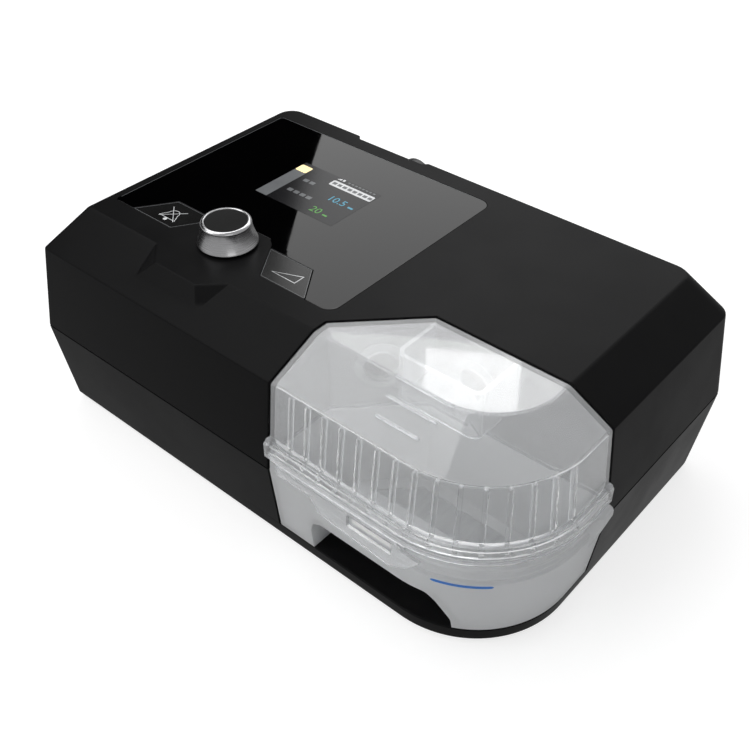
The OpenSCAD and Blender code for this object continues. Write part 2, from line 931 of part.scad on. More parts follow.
module muffler_cover() color(grey_c) {
    difference() {
        translate([box_x0, box_y0, box_z1])
            cube([box_x1 - box_x0, box_y1 - box_y0, box_t]);
        translate([blower_x, blower_y, box_z1 - 1])
            cylinder(h = box_t + 2, r = intake_r);
    }
}

module muffler_foam() color(foam_c) {
    t = 6;
    x0 = box_x0 + box_t + 0.3;
    x1 = box_x1 - box_t - 0.3;
    y0 = box_y0 + box_t + 0.3;
    y1 = box_y1 - box_t - 8;
    difference() {
        translate([x0, y0, box_z0 + box_t])
            cube([x1 - x0, y1 - y0, box_z1 - box_z0 - box_t - 0.3]);
        translate([x0 + t, y0 + t, box_z0 + box_t + t])
            cube([x1 - x0 - 2 * t, y1 - y0 - 2 * t, box_z1]);
        translate([filter_x + 4, y1 - t - 1, filter_z + 4])
            cube([filter_w - 8, t + 2, filter_h - 8]);
    }
}

// ---- blower ----

intake_r = 12;
mount_ring = 22;
vol_t = 2;
vol_h = 24;
vol_z0 = duct_z - vol_h / 2;
mount_h = vol_z0 - box_z1 - box_t;
spout_r = duct_r + vol_t;
spout_x = inlet_x;
spout_y = bay_back + wall + 4;

module blower_mounts() color(rubber_c) {
    for (a = [45:90:315])
        translate([blower_x, blower_y, vol_z0 - mount_h])
            rotate([0, 0, a])
                translate([mount_ring, 0, 0])
                    cylinder(h = mount_h, r = 4.5);
}

// the snail-shaped housing: a drum with a round spout that leaves it at a tangent
module volute(r_drum, r_spout, z0, z1, y0) {
    union() {
        translate([blower_x, blower_y, z0])
            cylinder(h = z1 - z0, r = r_drum);
        translate([spout_x, blower_y, duct_z])
            rotate([90, 0, 0])
                cylinder(h = blower_y - y0, r = r_spout);
    }
}

module blower_shell() {
    difference() {
        volute(blower_r, spout_r, vol_z0, vol_z0 + vol_h, spout_y);
        volute(blower_r - vol_t, duct_r, vol_z0 + vol_t, vol_z0 + vol_h - vol_t, spout_y - 1);
        translate([blower_x, blower_y, vol_z0 - 1])
            cylinder(h = vol_t + 2, r = intake_r);
    }
}

module blower_lower() color(grey_c) {
    intersection() {
        blower_shell();
        slab(0, duct_z);
    }
}

module blower_upper() color(grey_c) {
    difference() {
        intersection() {
            blower_shell();
            slab(duct_z, z_top);
        }
        translate([blower_x, blower_y, duct_z])
            cylinder(h = vol_h, r = 4);
    }
}

module impeller() color("#d8dadc") {
    ri = blower_r - vol_t - 5;
    z0 = vol_z0 + vol_t + 4;
    h = vol_h - 2 * vol_t - 8;
    translate([blower_x, blower_y, z0]) {
        difference() {
            union() {
                cylinder(h = 1.4, r = ri);
                cylinder(h = h, r = 5);
                for (i = [0:blade_count - 1])
                    rotate([0, 0, i * 360 / blade_count])
                        translate([ri / 2 + 2.5, 0, h / 2 + 0.2])
                            rotate([0, 0, 28])
                                cube([ri * 0.62, 1.2, h - 0.4], center = true);
            }
            translate([0, 0, h - 6])
                cylinder(h = 7, r = 1.5);
        }
        translate([0, 0, h - 6])
            cylinder(h = 6 + 4 + vol_t + 4, r = 1.5);
    }
}

motor_h = z_top - top_wall - 1.8 - vol_z0 - vol_h;
module blower_motor() color("#3a3d42") {
    translate([blower_x, blower_y, vol_z0 + vol_h])
        difference() {
            union() {
                cylinder(h = motor_h, r = 18);
                cylinder(h = 1.5, r = 21);
            }
            translate([0, 0, -1])
                cylinder(h = 7.5, r = 1.55);
        }
}

sleeve_t = 2.2;
module blower_sleeve() color(rubber_c) {
    translate([spout_x, bay_back + wall + 14, duct_z])
        rotate([90, 0, 0])
            difference() {
                cylinder(h = 14, r = spout_r + sleeve_t);
                translate([0, 0, -1])
                    cylinder(h = 11, r = spout_r);
                cylinder(h = 20, r = duct_r);
            }
}

// soft lip rings that the chamber presses against
lip_r = port_hole_r + 4;
module lip_ring() {
    difference() {
        union() {
            translate([0, 0, -0.5])
                cylinder(h = 0.5 + eps, r = lip_r);
            cylinder(h = wall, r = port_hole_r + 1.5);
        }
        translate([0, 0, -1])
            cylinder(h = wall + 2, r = port_hole_r);
    }
}
module inlet_seal() color(rubber_c) {
    translate([inlet_x, bay_back, duct_z])
        rotate([-90, 0, 0])
            lip_ring();
}
module outlet_seal() color(rubber_c) {
    translate([bay_x + slant_mid, bay_back - slant_mid, duct_z])
        rotate([0, 0, 45])
            rotate([-90, 0, 0])
                lip_ring();
}

// ---- outlet duct: from the slanting wall of the bay back to the hose port ----

duct_t = 1.6;
duct_in = port_hole_r + 0.5;
elbow_x = port_x;
elbow_y = bay_back - slant_mid + (bay_x + slant_mid - port_x);
module duct_path(r, over) {
    len = (bay_x + slant_mid - elbow_x) * sqrt(2) - wall;
    // each pipe runs on past the corner, so that the two close on each other
    past = r * tan(22.5) + 0.3;
    union() {
        translate([elbow_x - past / sqrt(2), elbow_y + past / sqrt(2), duct_z])
            rotate([0, 0, -135])
                rotate([-90, 0, 0])
                    cylinder(h = len + past + over, r = r);
        translate([elbow_x, elbow_y - past, duct_z])
            rotate([-90, 0, 0])
                cylinder(h = port_floor_y - wall - elbow_y + past + over, r = r);
    }
}
module outlet_duct() color(grey_c) {
    difference() {
        duct_path(duct_in + duct_t, 0);
        duct_path(duct_in, 1);
    }
}

module flow_sensor() color(board_c) {
    difference() {
        translate([elbow_x + 36, elbow_y - 36, duct_z - duct_in - duct_t])
            rotate([0, 0, -45])
                cube([18, 14, 12], center = true);
        duct_path(duct_in + duct_t, 0);
    }
}

module hose_port() color(dark_c) {
    y1 = back_y + port_proud;
    translate([port_x, y1, duct_z])
        rotate([90, 0, 0])
            difference() {
                union() {
                    cylinder(h = y1 - port_floor_y + wall, r = port_r);
                    translate([0, 0, y1 - port_floor_y - 2.5])
                        cylinder(h = 2.5, r = port_r + 2.5);
                }
                translate([0, 0, -1])
                    cylinder(h = y1 - port_floor_y + wall + 2, r = port_r - port_t);
            }
}

// ---- heater in the tray ----

module heater_plate() color(metal_c) {
    difference() {
        translate([0, 0, z_tray - heater_t])
            linear_extrude(heater_t)
                heater_plan(fit);
        for (p = HEATER_SCREWS)
            translate([p[0], p[1], z_tray - heater_t - 1])
                cylinder(h = heater_t + 2, r = 1.2);
        for (p = HEATER_SCREWS)
            translate([p[0], p[1], z_tray - 0.9])
                cylinder(h = 1, r = 2.2);
    }
}

film_t = 0.6;
module film_plan() {
    cornered_plan(heater_x + 12, heater_y + 4, heater_x + heater_w - 12, heater_y + heater_d - 4, 12);
}
module heater_film() color("#b5651d") {
    translate([0, 0, z_tray - heater_t - film_t])
        linear_extrude(film_t)
            film_plan();
}

module heater_pad() color(foam_c) {
    z1 = z_tray - heater_t - film_t;
    translate([0, 0, z_bottom + wall])
        linear_extrude(z1 - z_bottom - wall)
            film_plan();
}

module heater_screws() color(metal_c) {
    for (p = HEATER_SCREWS)
        translate([p[0], p[1], z_tray - 0.9])
            union() {
                translate([0, 0, -4])
                    cylinder(h = 4, r = 1.2);
                cylinder(h = 0.8, r = 2.1);
            }
}

// ---- humidifier chamber ----

arc_n = 24;

// outline of the chamber, counted the way round from the front left. inf and inr are the
// insets of the front and the right side, r the large corner, t the inset of the other walls
function chamber_pts(inf, inr, r, t) =
    let (g = bay_gap + t,
         slant = g * sqrt(2),
         cx = right_x - inr - r,
         cy = front_y + inf + r)
    concat(
        [[bay_x + g, front_y + inf]],
        [for (i = [0:arc_n]) let (a = 270 + 90 * i / arc_n) [cx + r * cos(a), cy + r * sin(a)]],
        [[right_x - inr, bay_back - g],
         [bay_x + bay_diag - g + slant, bay_back - g],
         [bay_x + g, bay_back - bay_diag + g - slant]]);

// solid between outline a at height za and outline b at height zb
module loft(a, za, b, zb) {
    n = len(a);
    polyhedron(
        points = concat([for (p = a) [p[0], p[1], za]], [for (p = b) [p[0], p[1], zb]]),
        faces = concat(
            [[for (i = [0:n - 1]) i]],
            [[for (i = [n - 1:-1:0]) n + i]],
            [for (i = [0:n - 1]) [i, n + i, n + (i + 1) % n]],
            [for (i = [0:n - 1]) [i, n + (i + 1) % n, (i + 1) % n]]));
}

function band_pts(z, t) = chamber_pts(side_in(z) + t, side_in(z) + t, nose_r - side_in(z) - t, t);

// a prism over an outline that lies in a plane of constant Y; its points are x and z
module along_y(y0, y1) {
    translate([0, y1, 0])
        rotate([90, 0, 0])
            linear_extrude(y1 - y0)
                children();
}

recess_x = bay_x + 22;
recess_lean = 6;
module recess_block(g) {
    z1 = z_tub + recess_h + g;
    x0 = recess_x - g;
    x1 = recess_x + recess_w + g;
    along_y(front_y - 20, front_y + lower_in + recess_d + g)
        polygon([
            [x0, -5], [x1 + 1, -5], [x1, z_tub + 6], [x1 - recess_lean, z1 - 4],
            [x1 - recess_lean - 4, z1], [x0 + 7, z1], [x0 + 2, z1 - 3], [x0, z1 - 9]]);
}

plate_x = heater_x - 4;
plate_y = front_y + lower_in + recess_d + 5;
plate_w = heater_w + 3.7;
plate_d = bay_d - lower_in - recess_d - 11;
plate_t = 1.2;
plate_lip = 3;
module plate_plan(g) {
    cornered_plan(plate_x + g, plate_y + g, plate_x + plate_w - g, plate_y + plate_d - g, 6 + g);
}
catch_w = 22;
catch_x = bay_x + 50;

module chamber_tub() color(frost_c) {
    floor_z = z_tub + chamber_t;
    difference() {
        union() {
            difference() {
                union() {
                    loft(band_pts(z_tub, 0), z_tub, band_pts(z_seam, 0), z_seam);
                    loft(band_pts(z_seam, 0), z_seam, band_pts(z_rim, 0), z_rim - fit);
                }
                recess_block(0);
            }
            tub_ear();
        }
        difference() {
            union() {
                loft(band_pts(floor_z, chamber_t), floor_z, band_pts(z_seam, chamber_t), z_seam);
                loft(band_pts(z_seam, chamber_t), z_seam, band_pts(z_rim, chamber_t), z_rim + 1);
            }
            recess_block(chamber_t);
        }
        // the metal plate lies in the floor, with a window above it
        translate([0, 0, z_tub - 1])
            linear_extrude(plate_t + 1)
                plate_plan(0);
        translate([0, 0, z_tub])
            linear_extrude(chamber_t + 1)
                plate_plan(plate_lip);
    }
}

module tub_ear() {
    y1 = bay_back - bay_gap - 0.6;
    x0 = right_x - 1.8;
    x1 = right_x + ear_proud;
    z1 = z_rim - fit - 0.6;
    intersection() {
        translate([0, 0, z1 - 30])
            linear_extrude(30)
                polygon([[x0, y1 - 18], [x1, y1 - 9], [x1, y1 - 2.5], [x1 - 1.5, y1], [x0, y1]]);
        along_y(y1 - 20, y1 + 1)
            polygon([[x0, z1 - 24], [x1, z1 - 4], [x1, z1 - 1.5], [x1 - 1.5, z1], [x0, z1]]);
    }
}

module chamber_plate() color(metal_c) {
    translate([0, 0, z_tub])
        linear_extrude(plate_t)
            plate_plan(0);
}

// soft gasket inside the lid's flange, on the tub's rim
module chamber_seal() color(rubber_c) {
    z0 = z_rim - fit;
    difference() {
        loft(band_pts(z_rim, 0.8), z0, band_pts(z_rim, 0.8), z0 + seal_h);
        loft(band_pts(z_rim, chamber_t - 0.2), z0 - 1, band_pts(z_rim, chamber_t - 0.2), z0 + seal_h + 1);
    }
}

seal_h = 2;
side_proud = 0.9;
function flange_pts(t) =
    chamber_pts(-flange_proud + t, -side_proud + t, nose_r + side_proud - t, t > 0 ? t : 0);
function top_pts(t) =
    chamber_pts(upper_in + front_run + 0.2 * t, upper_in + right_run + 0.2 * t, lid_top_r - 0.2 * t, t);

rib_w = 1.6;
rib_d = 1.4;
// ribs stand inside the wall, evenly spaced along the straight front and round the corner
module lid_ribs(z0, z1) {
    in0 = side_in(z1) + chamber_t;
    r = nose_r - in0;
    cx = right_x - in0 - r;
    cy = front_y + in0 + r;
    x0 = bay_x + bay_gap + chamber_t + 5;
    straight = cx - x0;
    bend = r * PI / 2;
    step = (straight + bend) / rib_count;
    for (i = [0:rib_count - 1])
        let (s = step * (i + 0.35),
             a = s < straight ? 0 : (s - straight) / r * 180 / PI)
            translate([s < straight ? x0 + s : cx, s < straight ? cy : cy, z0])
                rotate([0, 0, a])
                    translate([-rib_w / 2, -r - 6, 0])
                        cube([rib_w, rib_d + 7, z1 - z0]);
}

module lid_solid() {
    loft(band_pts(z_rim, 0), z_rim, band_pts(z_band, 0), z_band);
    loft(band_pts(z_band, 0), z_band, top_pts(0), z_top);
}

module lid_hollow() {
    t = chamber_t;
    loft(band_pts(z_rim, t), z_rim - 1, band_pts(z_band, t), z_band - 0.6 * t);
    loft(band_pts(z_band, t), z_band - 0.6 * t, top_pts(t), z_top - t);
}

grip_l = 27;
grip_gap = 8.6;
grip_h = 1.2;
grip_x = bay_x + 45.2;
module lid_grips() {
    a = atan2(shoulder_h, front_run);
    for (k = [0:2])
        translate([grip_x + 2 * k, front_y + upper_in + front_run - grip_gap * k, z_top - grip_gap * k * tan(a)])
            rotate([a, 0, 0])
                translate([0, -0.8, -0.8])
                    cube([grip_l + 3.8 - 4 * k, 1.6, grip_h + 0.8]);
}

lug_w = 3;
flap_r = 1.3;
flap_y = front_y - flange_proud + flap_r;
flap_axis_z = z_rim - flap_r - 0.3;
flap_pin_r = 0.7;
flap_x0 = bay_x + 7.5;
flap_x1 = bay_x + 76;
flap_wing = 12;
module lid_lugs() {
    for (x = [flap_x0 - lug_w - 0.3, flap_x1 + 0.3])
        difference() {
            translate([x, flap_y - flap_r, flap_axis_z - 1.2])
                cube([lug_w, flap_r + 1, z_rim - flap_axis_z + 1.3]);
            translate([x - 1, flap_y, flap_axis_z])
                rotate([0, 90, 0])
                    cylinder(h = lug_w + 2, r = flap_pin_r);
        }
}

module chamber_lid() color(clear_c) {
    difference() {
        union() {
            difference() {
                union() {
                    lid_solid();
                    loft(flange_pts(0), z_rim, flange_pts(0), z_flange);
                    lid_grips();
                }
                lid_hollow();
                // step along the flange's top edge
                difference() {
                    loft(flange_pts(-1), z_flange - 1.2, flange_pts(-1), z_flange + 1);
                    loft(flange_pts(1.2), z_flange - 2, flange_pts(1.2), z_flange + 2);
                }
                // room for the gasket and the tub's rim
                loft(band_pts(z_rim, 0.7), z_rim - 1, band_pts(z_rim, 0.7), z_rim + seal_h + 0.1 - fit);
            }
            intersection() {
                lid_ribs(z_rim + seal_h + 0.4, z_band - 1.5);
                difference() {
                    loft(band_pts(z_rim, 1), z_rim, band_pts(z_band, 1), z_band);
                    loft(band_pts(z_rim, chamber_t + rib_d), z_rim, band_pts(z_band, chamber_t + rib_d), z_band);
                }
            }
            lid_lugs();
        }
        // air ways through the back wall and the slanting wall
        inlet_way(port_hole_r, -bay_gap - chamber_t - 1, 0);
        outlet_way(port_hole_r, -bay_gap - chamber_t - 1, 0);
    }
}

// curtain that turns the incoming air down onto the water
baffle_x = inlet_x - 22;
baffle_w = 44;
baffle_d = 27;
baffle_z = z_top - 26;
module lid_baffle() color(clear_c) {
    z1 = z_top - chamber_t;
    y1 = bay_back - bay_gap - chamber_t;
    t = 2;
    r = 5;
    difference() {
        translate([0, 0, baffle_z])
            linear_extrude(z1 - baffle_z)
                difference() {
                    soft_plan(baffle_x, y1 - baffle_d, baffle_x + baffle_w, y1, [r, r, 0.1, 0.1]);
                    soft_plan(baffle_x + t, y1 - baffle_d + t, baffle_x + baffle_w - t, y1 + 1,
                        [r - t, r - t, 0.1, 0.1]);
                }
        // it follows the slope of the front shoulder
        difference() {
            slab(z_band - 2, z_top);
            lid_hollow();
        }
    }
}

// ---- latch ----

flap_t = 1.7;
window_w = 24;
window_h = 6.8;
module latch_flap() color(clear_c) {
    x0 = flap_x0;
    x1 = flap_x1;
    zt = flap_axis_z;
    difference() {
        union() {
            along_y(flap_y - flap_r, flap_y - flap_r + flap_t)
                polygon([
                    [x0, zt], [x0, zt - 5.5], [x0 + 20, zt - 5.5], [x0 + 25, zt - 13],
                    [x1 - 4, zt - 16], [x1 + 4, zt - 12], [x1 + flap_wing, zt - 2.4],
                    [x1, zt - 2.4], [x1, zt]]);
            translate([x0, flap_y, zt])
                rotate([0, 90, 0])
                    cylinder(h = x1 - x0, r = flap_r);
        }
        translate([x0 - 1, flap_y, zt])
            rotate([0, 90, 0])
                cylinder(h = x1 - x0 + 2, r = flap_pin_r + 0.05);
        translate([catch_x - 1, flap_y - 3, flap_axis_z - flap_r - 0.5 - window_h])
            cube([window_w, 6, window_h]);
    }
}

module latch_pin() color(metal_c) {
    translate([flap_x0 - lug_w - 0.3, flap_y, flap_axis_z])
        rotate([0, 90, 0])
            cylinder(h = flap_x1 - flap_x0 + 2 * lug_w + 0.6, r = flap_pin_r);
}

// white catch on the tub's front wall, seen through the window of the flap
module latch_catch() color("#e6e8ea") {
    z0 = flap_axis_z - flap_r - 0.5 - window_h + 0.8;
    difference() {
        along_y(flap_y - flap_r + flap_t + run_gap, front_y + 1.6)
            polygon([
                [catch_x, z0], [catch_x + catch_w, z0], [catch_x + catch_w, z0 + 5.2], [catch_x, z0 + 5.2]]);
        loft(band_pts(z_tub, 0), z_tub, band_pts(z_seam, 0), z_seam);
        loft(band_pts(z_seam, 0), z_seam, band_pts(z_rim, 0), z_rim);
    }
}

module rubber_feet() color(dark_c) {
    for (p = FEET)
        translate([p[0], p[1], 0])
            cylinder(h = z_bottom + foot_in, r = foot_r);
}

module case_screws() color(metal_c) {
    at_bosses()
        translate([0, 0, z_seam - seat_drop])
            pan_screw(screw_r, seat_drop + screw_grip, head_r, head_h);
}

base_shell();
top_shell();
glass_panel();
mute_button();
ramp_button();
knob();
knob_insert();
encoder_shaft();
encoder_body();
lcd_module();
lcd_frame();
ui_board();
tact_switches();
ui_board_screws();
speaker();
main_board();
board_parts();
main_board_screws();
coin_cell();
sd_socket();
sd_card();
dc_inlet();
filter_cover();
filter_foam();
muffler_box();
muffler_cover();
muffler_foam();
blower_mounts();
blower_lower();
blower_upper();
impeller();
blower_motor();
blower_sleeve();
inlet_seal();
outlet_seal();
outlet_duct();
flow_sensor();
hose_port();
heater_plate();
heater_film();
heater_pad();
heater_screws();
chamber_tub();
chamber_plate();
chamber_seal();
chamber_lid();
lid_baffle();
latch_flap();
latch_pin();
latch_catch();
rubber_feet();
case_screws();
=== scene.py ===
"""Bedside breathing-therapy machine with a clear humidifier chamber: its finished surfaces,
materials, studio and camera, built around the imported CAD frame."""

import json
import math

import bmesh
import bpy
import numpy as np
from mathutils import Matrix, Vector
from mathutils.geometry import delaunay_2d_cdt


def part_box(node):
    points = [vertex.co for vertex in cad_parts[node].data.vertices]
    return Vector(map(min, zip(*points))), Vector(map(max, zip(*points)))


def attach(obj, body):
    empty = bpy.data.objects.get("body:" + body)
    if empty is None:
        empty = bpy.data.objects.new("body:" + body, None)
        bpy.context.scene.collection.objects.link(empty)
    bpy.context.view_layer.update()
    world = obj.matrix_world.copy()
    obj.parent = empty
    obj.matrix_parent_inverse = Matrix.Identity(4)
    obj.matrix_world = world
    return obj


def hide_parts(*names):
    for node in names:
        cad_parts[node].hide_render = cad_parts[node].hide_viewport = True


bl_info = {
    "name": "Breathing-therapy machine",
    "version": (1, 0, 0),
    "blender": (4, 5, 0),
    "location": "View3D > Sidebar > Therapy machine",
    "description": "Finished surfaces of a bedside breathing-therapy machine",
    "category": "Add Mesh",
}

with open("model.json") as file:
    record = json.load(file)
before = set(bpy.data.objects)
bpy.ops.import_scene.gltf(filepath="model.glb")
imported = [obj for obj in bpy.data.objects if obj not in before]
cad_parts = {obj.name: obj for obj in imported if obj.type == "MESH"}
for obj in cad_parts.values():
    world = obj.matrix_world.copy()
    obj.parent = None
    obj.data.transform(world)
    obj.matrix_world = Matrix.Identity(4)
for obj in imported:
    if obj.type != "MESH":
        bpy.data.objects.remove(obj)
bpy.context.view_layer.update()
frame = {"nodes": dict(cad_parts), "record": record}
MM = 0.001
SLOTS = {row["slot"] for row in frame["record"]["materials"]}


def box_mm(node):
    """Lowest and highest corner of a CAD node, in millimetres."""
    low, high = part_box(node)
    return np.array(low) / MM, np.array(high) / MM


# ---- places taken from the frame, in millimetres ----

BASE_LOW, BASE_HIGH = box_mm("base_shell")
LEFT, FRONT, BOTTOM = BASE_LOW
RIGHT, BACK, SEAM = BASE_HIGH
TOP = box_mm("top_shell")[1][2]
SHOULDER_H = 11.6
BAND = TOP - SHOULDER_H
TRAY = box_mm("heater_plate")[1][2]
TUB_LOW, TUB_HIGH = box_mm("chamber_tub")
TUB_FLOOR = TUB_LOW[2]
BAY_GAP = 0.9
BAY_LEFT = TUB_LOW[0] - BAY_GAP
BAY_BACK = TUB_HIGH[1] + BAY_GAP
BAY_SLANT = 34.0
GLASS_LOW, GLASS_HIGH = box_mm("glass_panel")
KNOB_LOW, KNOB_HIGH = box_mm("knob")
KNOB_X, KNOB_Y = (KNOB_LOW[:2] + KNOB_HIGH[:2]) / 2
KNOB_R = (KNOB_HIGH[0] - KNOB_LOW[0]) / 2
CAP_LOW, CAP_HIGH = box_mm("knob_insert")
PORT_X = sum(box_mm("hose_port"))[0] / 2
DUCT_Z = sum(box_mm("inlet_seal"))[2] / 2
INLET_X = sum(box_mm("inlet_seal"))[0] / 2
FLAP_LOW, FLAP_HIGH = box_mm("latch_flap")
CATCH_LOW, CATCH_HIGH = box_mm("latch_catch")
PLATE_LOW, PLATE_HIGH = box_mm("chamber_plate")

# how far each side of the case draws in: at its bottom, at the band's top, and over the shoulder
LOWER_IN = 5.0
UPPER_IN = 5.0
SHOULDER_RUN = {"front": 27.8, "right": 21.7, "left": 2.2, "back": 0.6}
WALL = 2.2
TOP_WALL = 3.2
CORNER_R = 14.0
SHARP_R = 1.4
BACK_RIGHT_R = 8.0
NOSE_R = 55.0
NOSE_CENTRE = np.array([RIGHT - NOSE_R, FRONT + NOSE_R])


# ---- lines and rings ----


def unit(v):
    """Vectors of length one along the last axis."""
    return v / np.maximum(np.linalg.norm(v, axis=-1, keepdims=True), 1e-12)


def soft_line(points, reach, steps=7):
    """Open line whose inner corners become parabolas: from reach before a corner to reach after
    it, the point is (1-t)^2 a + 2t(1-t) corner + t^2 b."""
    p = np.asarray(points, float)
    reach = np.broadcast_to(reach, len(p))
    t = np.linspace(0, 1, steps)[:, None]
    parts = [p[:1]]
    for k in range(1, len(p) - 1):
        if reach[k] <= 0:
            parts.append(p[k : k + 1])
            continue
        a = p[k] + unit(p[k - 1] - p[k]) * reach[k]
        b = p[k] + unit(p[k + 1] - p[k]) * reach[k]
        parts.append((1 - t) ** 2 * a + 2 * t * (1 - t) * p[k] + t**2 * b)
    parts.append(p[-1:])
    return np.concatenate(parts)


def smooth(t):
    """Smooth step from 0 to 1: 3t^2 - 2t^3 of t held between 0 and 1."""
    t = np.clip(t, 0, 1)
    return t * t * (3 - 2 * t)


def side_inset(side, z, reach=0.8):
    """Inset of one side of the case at height z: a straight wall, a softened fold at the top of
    the band, and a straight shoulder."""
    line = soft_line(
        [
            (LOWER_IN, BOTTOM - 1),
            (0, SEAM),
            (UPPER_IN, BAND),
            (UPPER_IN + SHOULDER_RUN[side], TOP),
        ],
        [0, 0, reach, 0],
    )
    return np.interp(z, line[:, 1], line[:, 0])


def wall_inset(z):
    """Inset of a wall that leans in a straight line below and above the seam."""
    return np.interp(z, [BOTTOM, SEAM, BAND], [LOWER_IN, 0, UPPER_IN])


def offset_corners(corners, inward):
    """Moves the edges of a polygon that runs anticlockwise inwards, each by its own distance.
    A corner moves to p + ((e0-c e1) n0 + (e1-c e0) n1)/(1-c^2), where n0 and n1 are the inward
    normals of the edges before and after it, e0 and e1 their distances, and c = n0.n1."""
    after = unit(np.roll(corners, -1, axis=-2) - corners)
    n1 = np.stack([-after[..., 1], after[..., 0]], -1)
    n0 = np.roll(n1, 1, axis=-2)
    e1 = np.broadcast_to(inward, corners.shape[:-1])
    e0 = np.roll(e1, 1, axis=-1)
    c = (n0 * n1).sum(-1)
    flat = 1 - c**2 < 1e-3
    below = np.where(flat, 1, 1 - c**2)
    mean = (e0 + e1) / 2 / (1 + np.where(flat, c, 0))
    k0 = np.where(flat, mean, (e0 - c * e1) / below)
    k1 = np.where(flat, mean, (e1 - c * e0) / below)
    return corners + k0[..., None] * n0 + k1[..., None] * n1


class Ring:
    """Columns of a closed outline with rounded corners. arcs[k] holds the fractions of turn at
    which corner k has a point, edges[k] the fractions of the straight edge after it."""

    def __init__(self, arcs, edges):
        self.arcs = [np.asarray(a, float) for a in arcs]
        self.edges = [np.asarray(e, float) for e in edges]
        sizes = [len(a) + len(e) for a, e in zip(self.arcs, self.edges)]
        starts = np.concatenate([[0], np.cumsum(sizes)])
        self.first = starts[:-1]
        self.last = self.first + [len(a) - 1 for a in self.arcs]
        self.count = int(starts[-1])

    def points(self, corners, radius):
        """(rows, columns, 2) points. At each corner a circle of that radius touches both edges:
        it starts r tan(turn/2) before the corner, and its points are centre - r turned(normal)."""
        corners = np.asarray(corners, float)
        radius = np.broadcast_to(radius, corners.shape[:-1])
        d0 = unit(corners - np.roll(corners, 1, axis=-2))
        d1 = unit(np.roll(corners, -1, axis=-2) - corners)
        cross = d0[..., 0] * d1[..., 1] - d0[..., 1] * d1[..., 0]
        turn = np.arctan2(cross, (d0 * d1).sum(-1))
        reach = (radius * np.tan(np.abs(turn) / 2))[..., None]
        begin = corners - d0 * reach
        finish = corners + d1 * reach
        side = np.sign(turn)[..., None]
        normal = np.stack([-d0[..., 1], d0[..., 0]], -1) * side
        centre = begin + normal * radius[..., None]
        parts = []
        for k, (arc, edge) in enumerate(zip(self.arcs, self.edges)):
            angle = turn[..., k, None] * arc
            nx, ny = normal[..., k, 0, None], normal[..., k, 1, None]
            turned = np.stack(
                [nx * np.cos(angle) - ny * np.sin(angle), nx * np.sin(angle) + ny * np.cos(angle)], -1
            )
            parts.append(centre[..., k, None, :] - radius[..., k, None, None] * turned)
            after = np.roll(begin, -1, axis=-2)[..., k, None, :]
            here = finish[..., k, None, :]
            parts.append(here + (after - here) * edge[:, None])
        return np.concatenate(parts, -2)


def even(n):
    """n + 1 even fractions from 0 to 1, for an arc."""
    return np.linspace(0, 1, n + 1)


def inner(n):
    """The n - 1 fractions strictly between 0 and 1 that cut an edge in n."""
    return np.linspace(0, 1, n + 1)[1:-1]


def simple_ring(corner_count, arc_steps=6, edge_steps=1):
    """Ring with as many points at every corner, and every edge cut alike."""
    return Ring([even(arc_steps)] * corner_count, [inner(edge_steps)] * corner_count)


def rect(x0, y0, x1, y1):
    """Corners of a rectangle, anticlockwise."""
    return [(x0, y0), (x1, y0), (x1, y1), (x0, y1)]


def crown(h, radius):
    """Inset of a rounded upper edge at distance h below the top: r - sqrt(r^2 - (r-h)^2)."""
    rise = np.clip(radius - h, 0, radius)
    return radius - np.sqrt(np.maximum(radius**2 - rise**2, 0))


def inward_normals(plan):
    """Level directions that point into closed outlines (rows, columns, 2): at each column the
    line from the column before it to the one after it, turned left."""
    ahead = unit(np.roll(plan, -1, axis=1) - np.roll(plan, 1, axis=1))
    return np.stack([-ahead[..., 1], ahead[..., 0]], -1)


def fold_levels(inset, z, reach):
    """Heights of the rows that soften the fold between the band and the front shoulder. The
    band's line starts at an inset and a height, and the fold reaches that far to both sides."""
    line = [(inset, z), (UPPER_IN, BAND), (UPPER_IN + SHOULDER_RUN["front"], TOP)]
    return soft_line(line, [0, reach, 0])[1:-1, 1]


# ---- meshes ----


